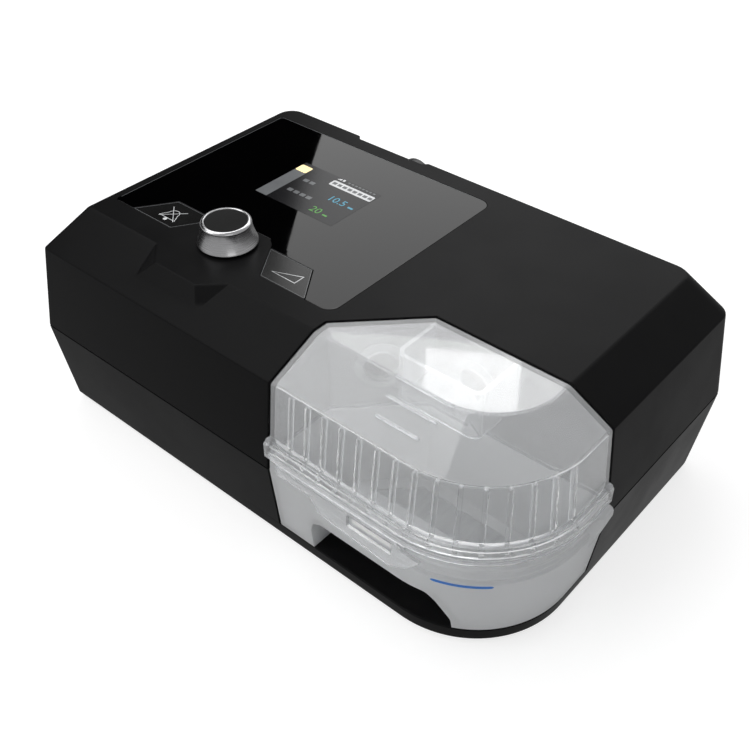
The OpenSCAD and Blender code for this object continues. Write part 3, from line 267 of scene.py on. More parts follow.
class Skin:
    """Gathers points in millimetres and faces by their numbers, and makes one object of them."""

    def __init__(self):
        self.points = []
        self.faces = []
        self.count = 0

    def add(self, points):
        """Adds points of any array shape (..., 3) and returns their numbers in that shape."""
        points = np.asarray(points, float)
        numbers = self.count + np.arange(points[..., 0].size)
        self.points.append(points.reshape(-1, 3))
        self.count += numbers.size
        return numbers.reshape(points.shape[:-1])

    def band(self, low, high, closed=True, flip=False):
        """Four-sided faces between two lines of as many points. With lines that run
        anticlockwise seen from above and high above low, they face outwards."""
        low, high = np.asarray(low), np.asarray(high)
        if closed:
            low, high = np.append(low, low[0]), np.append(high, high[0])
        quads = np.stack([low[:-1], low[1:], high[1:], high[:-1]], -1)
        self.faces.append(quads[:, ::-1] if flip else quads)

    def sheet(self, grid, closed=True, flip=False, skip=()):
        """Faces over a grid of numbers, its rows from low to high. skip lists blocks of
        (row, row, column, column) that stay open."""
        keep = np.ones((grid.shape[0] - 1, grid.shape[1] - (0 if closed else 1)), bool)
        for r0, r1, c0, c1 in skip:
            keep[r0:r1, c0:c1] = False
        wide = np.concatenate([grid, grid[:, :1]], 1) if closed else grid
        quads = np.stack([wide[:-1, :-1], wide[:-1, 1:], wide[1:, 1:], wide[1:, :-1]], -1)
        quads = quads[keep]
        self.faces.append(quads[:, ::-1] if flip else quads)

    def fill(self, loops, u, v):
        """Fills the flat area between loops of numbers with triangles that face along u x v. A
        triangle stays where a line from its middle crosses the loops an odd number of times."""
        points = np.concatenate(self.points)
        u, v = np.asarray(u, float), np.asarray(v, float)
        numbers = np.concatenate([np.asarray(loop) for loop in loops])
        flat = np.stack([points[numbers] @ u, points[numbers] @ v], -1)
        _, first, back = np.unique(np.round(flat, 5), axis=0, return_index=True, return_inverse=True)
        back = back.ravel()
        edges, start = [], 0
        for loop in loops:
            ids = back[start : start + len(loop)]
            ids = ids[np.append(True, ids[1:] != ids[:-1])]
            edges += [(int(a), int(b)) for a, b in zip(ids, np.roll(ids, -1)) if a != b]
            start += len(loop)
        made = delaunay_2d_cdt([Vector(p) for p in flat[first]], edges, [], 2, 1e-6)
        source = np.array([ids[0] if ids else -1 for ids in made[3]])
        triangles = source[np.array(made[2])]
        if (triangles < 0).any():
            raise RuntimeError("a filled area's outline crosses itself")
        corner = flat[first]
        mid = corner[triangles].mean(1)[:, None]
        a, b = corner[np.array(edges).T]
        over = (a[:, 1] > mid[..., 1]) != (b[:, 1] > mid[..., 1])
        rise = np.where(a[:, 1] == b[:, 1], 1, b[:, 1] - a[:, 1])
        reach = a[:, 0] + (mid[..., 1] - a[:, 1]) * (b[:, 0] - a[:, 0]) / rise
        odd = (over & (mid[..., 0] < reach)).sum(1) % 2 == 1
        self.faces.append(numbers[first][triangles[odd]])

    def box_loop(self, grid, block):
        """Numbers round a block of a grid, anticlockwise seen from outside."""
        r0, r1, c0, c1 = block
        right = grid[r0 : r1 + 1, c1 % grid.shape[1]]
        bottom = grid[r0, np.arange(c0, c1) % grid.shape[1]]
        top = grid[r1, np.arange(c1, c0, -1) % grid.shape[1]]
        left = grid[r1:r0:-1, c0]
        return np.concatenate([bottom, right[:-1], top, left])

    def make(self, name, body, slot, replaces=(), sharp=38, merge=2e-5, look=None):
        """Makes the mesh object, joined where points coincide, and puts it on its body."""
        mesh = bpy.data.meshes.new(name)
        faces = [face for part in self.faces for face in part.tolist()]
        mesh.from_pydata(np.concatenate(self.points) * MM, [], faces)
        work = bmesh.new()
        work.from_mesh(mesh)
        bmesh.ops.remove_doubles(work, verts=work.verts, dist=merge)
        bmesh.ops.dissolve_degenerate(work, edges=work.edges, dist=1e-7)
        work.to_mesh(mesh)
        work.free()
        return dress(mesh, name, body, slot, replaces, sharp, look)


def dress(mesh, name, body, slot, replaces=(), sharp=38, look=None):
    """Object for a finished mesh: smooth faces, edges sharp past an angle, large faces kept
    flat by weighted normals; it rides on its body and takes its slot's material."""
    mesh.shade_smooth()
    mesh.set_sharp_from_angle(angle=math.radians(sharp))
    obj = bpy.data.objects.new(name, mesh)
    bpy.context.scene.collection.objects.link(obj)
    weights = obj.modifiers.new("flat_faces", "WEIGHTED_NORMAL")
    weights.keep_sharp = True
    weights.weight = 60
    obj.data.materials.append(material(look or slot))
    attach(obj, body)
    if replaces:
        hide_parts(*replaces)
    return obj


def circle(centre, radius, u, v, n=48):
    """Points centre + r cos(a) u + r sin(a) v, a from 0 to a full turn."""
    a = np.linspace(0, 2 * np.pi, n, endpoint=False)[:, None]
    u, v = np.asarray(u, float), np.asarray(v, float)
    return np.asarray(centre, float) + radius * (np.cos(a) * u + np.sin(a) * v)


def at_height(plan, z):
    """Plan points (..., 2) with heights z, as (..., 3)."""
    z = np.broadcast_to(z, plan.shape[:-1])
    return np.concatenate([plan, z[..., None]], -1)


X, Y, Z = np.eye(3)

# ---- materials ----


def new_tree(name):
    """A new material with its Principled shader, its node tree and its object coordinates."""
    made = bpy.data.materials.new(name)
    made.use_nodes = True
    tree = made.node_tree
    shader = tree.nodes["Principled BSDF"]
    where = tree.nodes.new("ShaderNodeTexCoord")
    return made, tree, shader, where.outputs["Object"]


def group_surface_grain():
    """Moulded grain: fine noise of two sizes. Gives a height for a bump and a 0-1 mottling."""
    tree = bpy.data.node_groups.new("surface_grain", "ShaderNodeTree")
    side = tree.interface
    side.new_socket("Place", in_out="INPUT", socket_type="NodeSocketVector")
    side.new_socket("Fine scale", in_out="INPUT", socket_type="NodeSocketFloat").default_value = 2500
    side.new_socket("Mottle scale", in_out="INPUT", socket_type="NodeSocketFloat").default_value = 60
    side.new_socket("Height", in_out="OUTPUT", socket_type="NodeSocketFloat")
    side.new_socket("Mottle", in_out="OUTPUT", socket_type="NodeSocketFloat")
    enter = tree.nodes.new("NodeGroupInput")
    leave = tree.nodes.new("NodeGroupOutput")
    fine = tree.nodes.new("ShaderNodeTexNoise")
    fine.inputs["Detail"].default_value = 2
    fine.inputs["Roughness"].default_value = 0.6
    broad = tree.nodes.new("ShaderNodeTexNoise")
    broad.inputs["Detail"].default_value = 4
    tree.links.new(enter.outputs["Place"], fine.inputs["Vector"])
    tree.links.new(enter.outputs["Fine scale"], fine.inputs["Scale"])
    tree.links.new(enter.outputs["Place"], broad.inputs["Vector"])
    tree.links.new(enter.outputs["Mottle scale"], broad.inputs["Scale"])
    tree.links.new(fine.outputs["Fac"], leave.inputs["Height"])
    tree.links.new(broad.outputs["Fac"], leave.inputs["Mottle"])
    return tree


def group_stripes():
    """Fine parallel scratches or turning marks: noise stretched along two axes by a scale of
    its own on each. Gives a height and a 0-1 streak mask."""
    tree = bpy.data.node_groups.new("stretched_marks", "ShaderNodeTree")
    side = tree.interface
    side.new_socket("Place", in_out="INPUT", socket_type="NodeSocketVector")
    side.new_socket("Scale", in_out="INPUT", socket_type="NodeSocketVector")
    side.new_socket("Streaks", in_out="OUTPUT", socket_type="NodeSocketFloat")
    enter = tree.nodes.new("NodeGroupInput")
    leave = tree.nodes.new("NodeGroupOutput")
    stretch = tree.nodes.new("ShaderNodeVectorMath")
    stretch.operation = "MULTIPLY"
    noise = tree.nodes.new("ShaderNodeTexNoise")
    noise.inputs["Scale"].default_value = 1
    noise.inputs["Detail"].default_value = 3
    tree.links.new(enter.outputs["Place"], stretch.inputs[0])
    tree.links.new(enter.outputs["Scale"], stretch.inputs[1])
    tree.links.new(stretch.outputs[0], noise.inputs["Vector"])
    tree.links.new(noise.outputs["Fac"], leave.inputs["Streaks"])
    return tree


GROUPS = {}


def group(name, build):
    """The node group of a name, built once."""
    if name not in GROUPS:
        GROUPS[name] = build()
    return GROUPS[name]


def add_grain(tree, where, fine_scale, mottle_scale):
    """Places the grain group in a material's tree."""
    node = tree.nodes.new("ShaderNodeGroup")
    node.node_tree = group("grain", group_surface_grain)
    node.inputs["Fine scale"].default_value = fine_scale
    node.inputs["Mottle scale"].default_value = mottle_scale
    tree.links.new(where, node.inputs["Place"])
    return node


def add_ramp(tree, value, low, high, stops=(0.35, 0.65)):
    """Colour or grey that goes from low to high as value goes over the two stops."""
    ramp = tree.nodes.new("ShaderNodeValToRGB")
    for element, stop, colour in zip(ramp.color_ramp.elements, stops, (low, high)):
        element.position = stop
        element.color = (*np.broadcast_to(colour, 3), 1)
    tree.links.new(value, ramp.inputs["Fac"])
    return ramp.outputs["Color"]


def add_bump(tree, shader, height, strength, distance):
    """Feeds a height into the shader's normal, over a distance in metres."""
    bump = tree.nodes.new("ShaderNodeBump")
    bump.inputs["Strength"].default_value = strength
    bump.inputs["Distance"].default_value = distance
    tree.links.new(height, bump.inputs["Height"])
    tree.links.new(bump.outputs["Normal"], shader.inputs["Normal"])


def shaded(colour, share):
    """A colour at a share of its brightness."""
    return tuple(c * share for c in colour)


def moulded(name, low, high, rough, spread=0.06, fine=2600, mottle=45, bump=0.05, specular=0.5):
    """Moulded plastic, rubber or foam: colour and roughness vary softly, with fine grain."""
    made, tree, shader, where = new_tree(name)
    grain = add_grain(tree, where, fine, mottle)
    patches = grain.outputs["Mottle"]
    tree.links.new(add_ramp(tree, patches, low, high), shader.inputs["Base Color"])
    tree.links.new(add_ramp(tree, patches, rough - spread, rough + spread), shader.inputs["Roughness"])
    shader.inputs["Specular IOR Level"].default_value = specular
    add_bump(tree, shader, grain.outputs["Height"], bump, 0.0002)
    return made


def metal(name, low, high, rough, streak_scale, bump=0.04):
    """Metal with fine marks in one direction, which change its colour and its roughness."""
    made, tree, shader, where = new_tree(name)
    marks = tree.nodes.new("ShaderNodeGroup")
    marks.node_tree = group("stripes", group_stripes)
    marks.inputs["Scale"].default_value = streak_scale
    tree.links.new(where, marks.inputs["Place"])
    streaks = marks.outputs["Streaks"]
    tree.links.new(add_ramp(tree, streaks, low, high), shader.inputs["Base Color"])
    tree.links.new(add_ramp(tree, streaks, rough, rough + 0.12), shader.inputs["Roughness"])
    shader.inputs["Metallic"].default_value = 1
    add_bump(tree, shader, streaks, bump, 0.0001)
    return made


def clear(name, tint, rough, transmission, mottle, spread, bump=0.0):
    """Clear or frosted moulding: tinted plastic with faint flow marks in its roughness."""
    made, tree, shader, where = new_tree(name)
    grain = add_grain(tree, where, 900, mottle)
    patches = grain.outputs["Mottle"]
    tree.links.new(add_ramp(tree, patches, shaded(tint, 0.97), tint), shader.inputs["Base Color"])
    tree.links.new(add_ramp(tree, patches, rough, rough + spread), shader.inputs["Roughness"])
    shader.inputs["Transmission Weight"].default_value = transmission
    shader.inputs["IOR"].default_value = PLASTIC_IOR
    # lamp light passes the wall, so what stands behind it is lit
    path = tree.nodes.new("ShaderNodeLightPath")
    stopped = tree.nodes.new("ShaderNodeMath")
    stopped.operation = "MULTIPLY_ADD"
    tree.links.new(path.outputs["Is Shadow Ray"], stopped.inputs[0])
    stopped.inputs[1].default_value = -0.9 * transmission
    stopped.inputs[2].default_value = 1.0
    tree.links.new(stopped.outputs[0], shader.inputs["Alpha"])
    if bump:
        add_bump(tree, shader, grain.outputs["Height"], bump, 0.0002)
    return made


def glowing(name, colour, strength):
    """Lit or printed mark under glass, with a soft unevenness; also the painted edge highlights of the glass
    and buttons.
    """
    made, tree, shader, where = new_tree(name)
    grain = add_grain(tree, where, 900, 120)
    uneven = add_ramp(tree, grain.outputs["Mottle"], shaded(colour, 0.88), colour)
    tree.links.new(uneven, shader.inputs["Emission Color"])
    tree.links.new(uneven, shader.inputs["Base Color"])
    shader.inputs["Emission Strength"].default_value = strength
    shader.inputs["Specular IOR Level"].default_value = 0.25
    shader.inputs["Roughness"].default_value = 0.12
    return made


def board_material(name):
    """Green solder mask with lighter tracks: a voronoi distance picks the tracks out."""
    made, tree, shader, where = new_tree(name)
    cells = tree.nodes.new("ShaderNodeTexVoronoi")
    cells.feature = "DISTANCE_TO_EDGE"
    cells.inputs["Scale"].default_value = 120
    tree.links.new(where, cells.inputs["Vector"])
    edge = cells.outputs["Distance"]
    colour = add_ramp(tree, edge, (0.03, 0.16, 0.07), (0.01, 0.07, 0.03), stops=(0.02, 0.06))
    tree.links.new(colour, shader.inputs["Base Color"])
    shader.inputs["Roughness"].default_value = 0.35
    add_bump(tree, shader, edge, 0.1, 0.0001)
    return made


PLASTIC_IOR = 1.45


def make_slot_material(slot):
    """The material of a slot or of a print, from its colours and its finish."""
    look = bpy.context.scene.machine_looks
    case, glass = tuple(look.case_colour), tuple(look.glass_colour)
    case_shine = 0.8 * look.case_gloss
    makers = {
        "case_plastic": lambda: moulded(
            slot,
            shaded(case, 0.93),
            case,
            0.33,
            spread=0.03,
            fine=3200,
            mottle=35,
            bump=0.03,
            specular=case_shine,
        ),
        "panel_glass": lambda: moulded(
            slot, glass, shaded(glass, 1.2), 0.02, spread=0.008, fine=900, mottle=25, bump=0, specular=0.35
        ),
        "key_gloss": lambda: moulded(
            slot, 0.008, 0.009, 0.16, spread=0.03, fine=1500, mottle=40, bump=0.01, specular=0.35
        ),
        "dial_metal": lambda: metal(
            slot, (0.50, 0.50, 0.51), (0.62, 0.62, 0.63), 0.17, (90, 90, 9000), bump=0.03
        ),
        "dial_cap": lambda: moulded(slot, 0.007, 0.009, 0.5, spread=0.05, fine=3000, mottle=90, specular=0.1),
        "steel": lambda: metal(slot, (0.50, 0.50, 0.51), (0.66, 0.66, 0.67), 0.28, (3000, 60, 60)),
        "plate_metal": lambda: metal(
            slot, (0.50, 0.51, 0.52), (0.64, 0.65, 0.66), 0.3, (2500, 40, 40), bump=0.02
        ),
        "copper_film": lambda: metal(slot, (0.6, 0.28, 0.1), (0.75, 0.38, 0.16), 0.35, (1500, 1500, 60)),
        "screen": lambda: moulded(
            slot, (0.01, 0.011, 0.012), (0.014, 0.015, 0.017), 0.15, spread=0.03, fine=900, mottle=60, bump=0
        ),
        "grey_plastic": lambda: moulded(slot, (0.13, 0.13, 0.14), (0.16, 0.16, 0.17), 0.5, spread=0.05),
        "dark_plastic": lambda: moulded(
            slot, (0.012, 0.012, 0.013), (0.018, 0.018, 0.019), 0.42, spread=0.05
        ),
        "board": lambda: board_material(slot),
        "card_plastic": lambda: moulded(slot, (0.012, 0.03, 0.08), (0.02, 0.045, 0.11), 0.4, spread=0.05),
        "foam": lambda: moulded(
            slot,
            (0.05, 0.052, 0.056),
            (0.11, 0.113, 0.12),
            0.9,
            spread=0.04,
            fine=700,
            mottle=500,
            bump=0.8,
            specular=0.2,
        ),
        "soft_rubber": lambda: moulded(
            slot, (0.20, 0.21, 0.22), (0.26, 0.27, 0.28), 0.55, fine=1800, mottle=70, bump=0.08
        ),
        "foot_rubber": lambda: moulded(slot, 0.012, 0.02, 0.75, fine=1800, mottle=90, bump=0.12),
        "white_plastic": lambda: moulded(slot, (0.90, 0.90, 0.91), 0.95, 0.25, spread=0.05),
        "frosted_clear": lambda: clear(
            slot, tuple(look.tub_colour), look.tub_frost, 0.5, mottle=30, spread=0.05, bump=0.04
        ),
        "clear_plastic": lambda: clear(slot, tuple(look.lid_colour), 0.03, 0.83, mottle=25, spread=0.02),
        "mark_white": lambda: glowing(slot, (0.62, 0.63, 0.64), 0.25),
        # grey for the screen's print and for the painted edge highlights of the glass and the buttons
        "mark_grey": lambda: glowing(slot, (0.12, 0.125, 0.13), 0.3),
        "mark_dark": lambda: glowing(slot, (0.006, 0.006, 0.007), 0.3),
        "mark_cream": lambda: glowing(slot, (0.85, 0.72, 0.38), 0.7),
        "mark_cyan": lambda: glowing(slot, (0.05, 0.22, 0.31), 0.7),
        "mark_green": lambda: glowing(slot, (0.06, 0.21, 0.04), 0.7),
        "level_blue": lambda: moulded(slot, (0.008, 0.155, 0.56), (0.012, 0.19, 0.64), 0.4, spread=0.04),
    }
    return makers[slot]()


FINISHES = {}


def material(slot):
    """The finished material of a slot, made once."""
    if slot not in FINISHES:
        FINISHES[slot] = make_slot_material(slot)
    return FINISHES[slot]


# ---- settings ----


class MachineLooks(bpy.types.PropertyGroup):
    """Finishes of the machine's outside."""

    case_colour: bpy.props.FloatVectorProperty(
        name="Case colour",
        description="Colour of the moulded case",
        subtype="COLOR",
        default=(0.0070, 0.0070, 0.0073),
        min=0,
        max=1,
    )
    case_gloss: bpy.props.FloatProperty(
        name="Case gloss", description="Strength of the case's highlights", default=0.06, min=0, max=1
    )
    glass_colour: bpy.props.FloatVectorProperty(
        name="Glass colour",
        description="Colour of the glass control panel",
        subtype="COLOR",
        default=(0.0006, 0.0006, 0.0007),
        min=0,
        max=1,
    )
    tub_colour: bpy.props.FloatVectorProperty(
        name="Tub colour",
        description="Tint of the frosted water tub",
        subtype="COLOR",
        default=(0.80, 0.81, 0.82),
        min=0,
        max=1,
    )
    tub_frost: bpy.props.FloatProperty(
        name="Tub frost", description="Roughness of the tub's frosted wall", default=0.42, min=0, max=1
    )
    lid_colour: bpy.props.FloatVectorProperty(
        name="Lid colour",
        description="Tint of the clear lid",
        subtype="COLOR",
        default=(0.93, 0.94, 0.95),
        min=0,
        max=1,
    )


class MachineSizes(bpy.types.PropertyGroup):
    """Sizes that the CAD model leaves open: how soft the edges are and how thick marks are."""

    top_edge: bpy.props.FloatProperty(
        name="Top edge",
        description="Radius where the shoulders turn into the flat top",
        default=0.6 * MM,
        min=0.2 * MM,
        max=3 * MM,
        unit="LENGTH",
    )
    bay_edge: bpy.props.FloatProperty(
        name="Bay edge",
        description="Radius of the edge round the chamber bay",
        default=0.45 * MM,
        min=0.1 * MM,
        max=2 * MM,
        unit="LENGTH",
    )
    mark_width: bpy.props.FloatProperty(
        name="Mark width",
        description="Width of the lines of the printed button marks",
        default=0.42 * MM,
        min=0.2 * MM,
        max=1.5 * MM,
        unit="LENGTH",
    )


# ---- case ----

# recess round the hose port: its floor, its bottom, its half widths, and the run to its mouth
PORT_FLOOR_Y = BACK - 8.4
PORT_BASE = SEAM + 15
PORT_HALF = 22.0
PORT_MOUTH_HALF = 30.0
PORT_RUN = 9.4
# groove along the seam, and how far its rows stand back
SEAM_GAP = 0.5
GROOVE = (1.1, 1.1, 0.35, 0.1)
# shares of an edge's radius at which a rounded edge has its rows, from the side to the top
EDGE_SHARES = np.array([1, 0.84, 0.68, 0.52, 0.37, 0.23, 0.12, 0.04, 0])
SEAL_R = 9.5
PORT_R = 10.9
DIAL_NOSE = {"half": 25.2, "tip_half": 13.6, "reach": 10.9, "foot_half": 21.0, "foot_reach": 18.0}
NOSE_DROP = DIAL_NOSE["foot_reach"] * SHOULDER_H / SHOULDER_RUN["front"]
CASE_SCREWS = [
    (LEFT + 14, FRONT + 14.5),
    (BAY_LEFT - 11.3, FRONT + 14.5),
    (LEFT + 14, BACK - 15.5),
    (BAY_LEFT + 3.7, BACK - 15.5),
    (RIGHT - 13.5, BACK - 15.5),
    (RIGHT - 13.5, BAY_BACK + 9.5),
]
FEET = [
    (LEFT + 28, FRONT + 28),
    (RIGHT - 40, FRONT + 28),
    (LEFT + 28, BACK - 30),
    (RIGHT - 28, BACK - 30),
]
FOOT_SEAT_R = 8.05
SCREW_HOLE_R = 3.3
# recesses in the lower shell's walls: low corner along the wall and up, size, depth and radius
FILTER_RECESS = {"at": RIGHT - 92, "z": BOTTOM + 11, "w": 52, "h": 30, "deep": 8, "r": 1.2}
SOCKET_RECESS = {"at": BAY_LEFT - 43.3, "z": BOTTOM + 15.6, "w": 16, "h": 15, "deep": 6, "r": 1.0}
CARD_RECESS = {"at": FRONT + 90, "z": BOTTOM + 15, "w": 30, "h": 9, "deep": 6, "r": 1.0}
HEATER_GAP = 0.25
HEATER_LOW, HEATER_HIGH = box_mm("heater_plate")
HEATER_SINK = 1.5


def side_lines(z):
    """Where the four sides of the case stand at heights z: left x, right x, front y, back y."""
    return (
        LEFT + side_inset("left", z),
        RIGHT - side_inset("right", z),
        FRONT + side_inset("front", z),
        BACK - side_inset("back", z),
    )


def nose_line(z, front, nose):
    """Half width of the nose's foot, half width of its tip and the tip's y at heights z: it
    grows out of the front shoulder over its drop, by the share nose."""
    fold = FRONT + UPPER_IN + SHOULDER_RUN["front"]
    rise = np.clip((z - (TOP - NOSE_DROP)) / NOSE_DROP, 0, 1) * nose
    base_half = DIAL_NOSE["foot_half"] + (DIAL_NOSE["half"] - DIAL_NOSE["foot_half"]) * rise
    tip_half = DIAL_NOSE["foot_half"] + (DIAL_NOSE["tip_half"] - DIAL_NOSE["foot_half"]) * rise
    tip_y = fold - DIAL_NOSE["foot_reach"] + (DIAL_NOSE["foot_reach"] - DIAL_NOSE["reach"]) * rise
    return base_half, tip_half, np.where(rise > 0, np.minimum(tip_y, front), front)


def top_corners(z, port_base, nose):
    """Corners of the upper shell's outline at heights z, anticlockwise from the front left: with
    the raised nose in front of the dial, the chamber bay and the hose recess."""
    z = np.asarray(z, float)
    left, right, front, back = side_lines(z)
    full = np.ones_like(z)
    base_half, tip_half, tip_y = nose_line(z, front, nose)
    floor_y = np.where(z >= port_base, PORT_FLOOR_Y, back)
    rear = BACK - side_inset("back", np.maximum(z, PORT_BASE))
    mouth = PORT_HALF + (PORT_MOUTH_HALF - PORT_HALF) * (rear - PORT_FLOOR_Y) / PORT_RUN
    rows = [
        (left, front),
        (KNOB_X - base_half, front),
        (KNOB_X - tip_half, tip_y),
        (KNOB_X + tip_half, tip_y),
        (KNOB_X + base_half, front),
        (BAY_LEFT * full, front),
        (BAY_LEFT * full, (BAY_BACK - BAY_SLANT) * full),
        ((BAY_LEFT + BAY_SLANT) * full, BAY_BACK * full),
        (right, BAY_BACK * full),
        (right, back),
        (PORT_X + mouth, back),
        (PORT_X + PORT_HALF * full, floor_y),
        (PORT_X - PORT_HALF * full, floor_y),
        (PORT_X - mouth, back),
        (left, back),
    ]
    return np.stack([np.stack(row, -1) for row in rows], -2)


TOP_RING = Ring(
    [even(8), even(1), even(2), even(2), even(1), even(4), even(4), even(4), even(4), even(8)]
    + [even(3), even(3), even(3), even(3), even(8)],
    [inner(4), inner(1), inner(2), inner(1), inner(4), inner(3), inner(1), inner(1), inner(4), inner(3)]
    + [inner(1), inner(1), inner(1), inner(3), inner(8)],
)


def top_radii(z, scale=1.0):
    """Radius of each upright corner of the upper shell at heights z."""
    one = np.ones_like(z)
    nose = [0.4, 1.2, 1.2, 0.4]
    bay = [0.7, 1.0, 1.0, 0.7]
    radii = [r * one for r in [SHARP_R] + nose + bay + [BACK_RIGHT_R] + [1.0] * 4]
    radii.append(CORNER_R - wall_inset(np.minimum(z, BAND)))
    return np.stack(radii, -1) * scale


# push buttons: size, distance of their inner edge from the dial's middle, and how far both
# their sides lean; the gap round them, square to an edge and along x
BUTTON_W = 28.0
BUTTON_D = 18.8
BUTTON_T = 1.5
BUTTON_INNER = 30.8
BUTTON_LEAN = 12.8
PLATE_GAP = 0.2
LEAN_GAP = 0.24
# notch of the glass round the dial: how far back it reaches, and its half widths there
NOTCH_D = 24.4
NOTCH_HALF = 17.0
NOTCH_TIP_HALF = 13.0
NOTCH_CUT = 3.0
GLASS_T = 2.4


def dial_bed_half(y):
    """Half width, at y, of the part of the top that runs back between the two buttons."""
    lean = BUTTON_LEAN / BUTTON_D
    front = BUTTON_INNER - PLATE_GAP
    places = [GLASS_LOW[1] - 2, GLASS_LOW[1] + NOTCH_D - NOTCH_CUT]
    return np.interp(y, places, [front + 2 * lean, front - lean * NOTCH_D + NOTCH_CUT])


def glass_corners(gap, bed_gap, buttons):
    """Corners of the glass's outline grown by gap, anticlockwise from the front left. bed_gap
    grows the notch for the dial; with buttons, the outline also goes round behind them."""
    x0, y0 = GLASS_LOW[0] - gap, GLASS_LOW[1] - gap
    x1, y1 = GLASS_HIGH[0] + gap, GLASS_HIGH[1] + gap
    back = GLASS_LOW[1] + NOTCH_D
    if buttons:
        rear = GLASS_LOW[1] + BUTTON_D + bed_gap
        outer = BUTTON_INNER + BUTTON_W + LEAN_GAP
        half = [(KNOB_X - outer, y0), (KNOB_X - outer + BUTTON_LEAN, rear)]
        half += [(KNOB_X - dial_bed_half(rear) - bed_gap, rear)]
    else:
        half = [(KNOB_X - dial_bed_half(y0) - bed_gap, y0)]
    half += [(KNOB_X - NOTCH_HALF - bed_gap, back - NOTCH_CUT), (KNOB_X - NOTCH_TIP_HALF, back + bed_gap)]
    mirrored = [(2 * KNOB_X - x, y) for x, y in reversed(half)]
    return np.array([(x0, y0)] + half + mirrored + [(x1, y0), (x1, y1), (x0, y1)])


def glass_radii(count, gap):
    """Corner radii of the glass: small round the notch, larger at its four outer corners."""
    radii = np.full(count, 0.5)
    radii[0] = 2 + gap
    radii[-3:] = (6 + gap, 6 + gap, 1.5 + gap)
    return radii


def pierce(skin, grids, blocks, centre, inwards, u, radius):
    """Round hole through a double wall: fills the outer and the inner flat block round it and
    lines it. u is the wall's level direction seen from outside, inwards goes to its inner face."""
    hole, hole_in = (skin.add(circle(place, radius, u, Z)) for place in (centre, centre + inwards))
    skin.fill([skin.box_loop(grids[0], blocks[0]), hole], u, Z)
    skin.fill([skin.box_loop(grids[1], blocks[1]), hole_in], -u, Z)
    skin.band(hole, hole_in)


def top_outside(skin, edge, bay_edge):
    """Outer rings of the upper shell: every side draws in by the crown of its own upper edge,
    and all but the bay's by the groove along the seam."""
    z = np.concatenate(
        [
            SEAM + np.array([0, SEAM_GAP, SEAM_GAP, SEAM_GAP + 0.12, SEAM_GAP + 0.35]),
            [PORT_BASE - 0.01, PORT_BASE],
            fold_levels(0, SEAM, 0.8),
            TOP - NOSE_DROP * np.array([1, 0.66, 0.33]),
            TOP - edge * EDGE_SHARES,
        ]
    )
    radius = np.array([edge] * 5 + [bay_edge] * 3 + [edge] + [0.8] + [0.6] * 3 + [0.8] * 2)
    groove = np.zeros(len(z))
    groove[: len(GROOVE)] = GROOVE
    grooved = np.array([1] * 5 + [0] * 3 + [1] * 7)
    inward = crown((TOP - z)[:, None], radius) + groove[:, None] * grooved
    corners = offset_corners(top_corners(z, PORT_BASE - 0.005, 1), inward)
    return skin.add(at_height(TOP_RING.points(corners, top_radii(z)), z[:, None]))


def top_inside(skin):
    """Inner rings of the upper shell, without the nose: the outer outline a wall further in."""
    z = np.concatenate(
        [
            [SEAM, PORT_BASE - WALL - 0.01, PORT_BASE - WALL],
            fold_levels(0, SEAM, 0.8) - 1.2,
            [TOP - TOP_WALL],
        ]
    )
    corners = offset_corners(top_corners(z, PORT_BASE - WALL - 0.005, 0), WALL)
    return skin.add(at_height(TOP_RING.points(corners, top_radii(z, 0.8)), z[:, None]))


def air_ways():
    """Holes for the two seals and the hose port. Each row has the corner before its wall, its
    centre, the wall's direction, the way inwards, its radius, and the lowest row that its block
    of wall takes outside and inside."""
    slant = np.array([BAY_LEFT + BAY_SLANT / 2, BAY_BACK - BAY_SLANT / 2, DUCT_Z])
    inlet = np.array([INLET_X, BAY_BACK, DUCT_Z])
    port = np.array([PORT_X, PORT_FLOOR_Y, DUCT_Z])
    return [
        (6, slant, unit(X + Y), unit(Y - X), SEAL_R, 4, 0),
        (7, inlet, X, Y, SEAL_R, 4, 0),
        (11, port, -X, -Y, PORT_R, 6, 2),
    ]


def add_glass_bed(skin, top_edge):
    """The flat top inside its rounded edge, with the bed that the glass lies in."""
    bed = glass_corners(PLATE_GAP, 0.0, False)
    plan = simple_ring(len(bed)).points(bed, glass_radii(len(bed), PLATE_GAP))
    rim, floor = (skin.add(at_height(plan, z)) for z in (TOP, TOP - GLASS_T))
    skin.fill([top_edge, rim], X, Y)
    skin.band(floor, rim, flip=True)
    skin.fill([floor], X, Y)


def build_top_shell():
    """The upper shell: its outer and inner rings, the air ways between them, and its top."""
    sizes = bpy.context.scene.machine_sizes
    skin = Skin()
    outer = top_outside(skin, sizes.top_edge / MM, sizes.bay_edge / MM)
    within = top_inside(skin)
    open_outer, open_within = [], []
    for corner, centre, u, inwards, radius, row, row_in in air_ways():
        columns = (TOP_RING.last[corner], TOP_RING.first[corner + 1])
        block = (row, len(outer) - len(EDGE_SHARES), *columns)
        block_in = (row_in, len(within) - 1, *columns)
        pierce(skin, (outer, within), (block, block_in), centre, inwards * WALL, u, radius)
        open_outer.append(block)
        open_within.append(block_in)
    skin.sheet(outer, skip=open_outer)
    skin.sheet(within, flip=True, skip=open_within)
    skin.band(outer[0], within[0], flip=True)
    skin.fill([within[-1]], X, -Y)
    add_glass_bed(skin, outer[-1])
    skin.make("case_top", "case", "case_plastic", ["top_shell"])


def base_corners(z, notched):
    """Corners of the lower shell's outline at heights z: whole with the large nose corner, or
    with the chamber bay cut out."""
    left, right, front, back = side_lines(z)
    full = np.ones_like(z)
    if notched:
        middle = [
            (BAY_LEFT * full, front),
            (BAY_LEFT * full, (BAY_BACK - BAY_SLANT) * full),
            ((BAY_LEFT + BAY_SLANT) * full, BAY_BACK * full),
            (right, BAY_BACK * full),
        ]
    else:
        middle = [(BAY_LEFT * full, front), (right, front), (right, BAY_BACK * full)]
    rows = [(left, front)] + middle + [(right, back), (left, back)]
    return np.stack([np.stack(row, -1) for row in rows], -2)


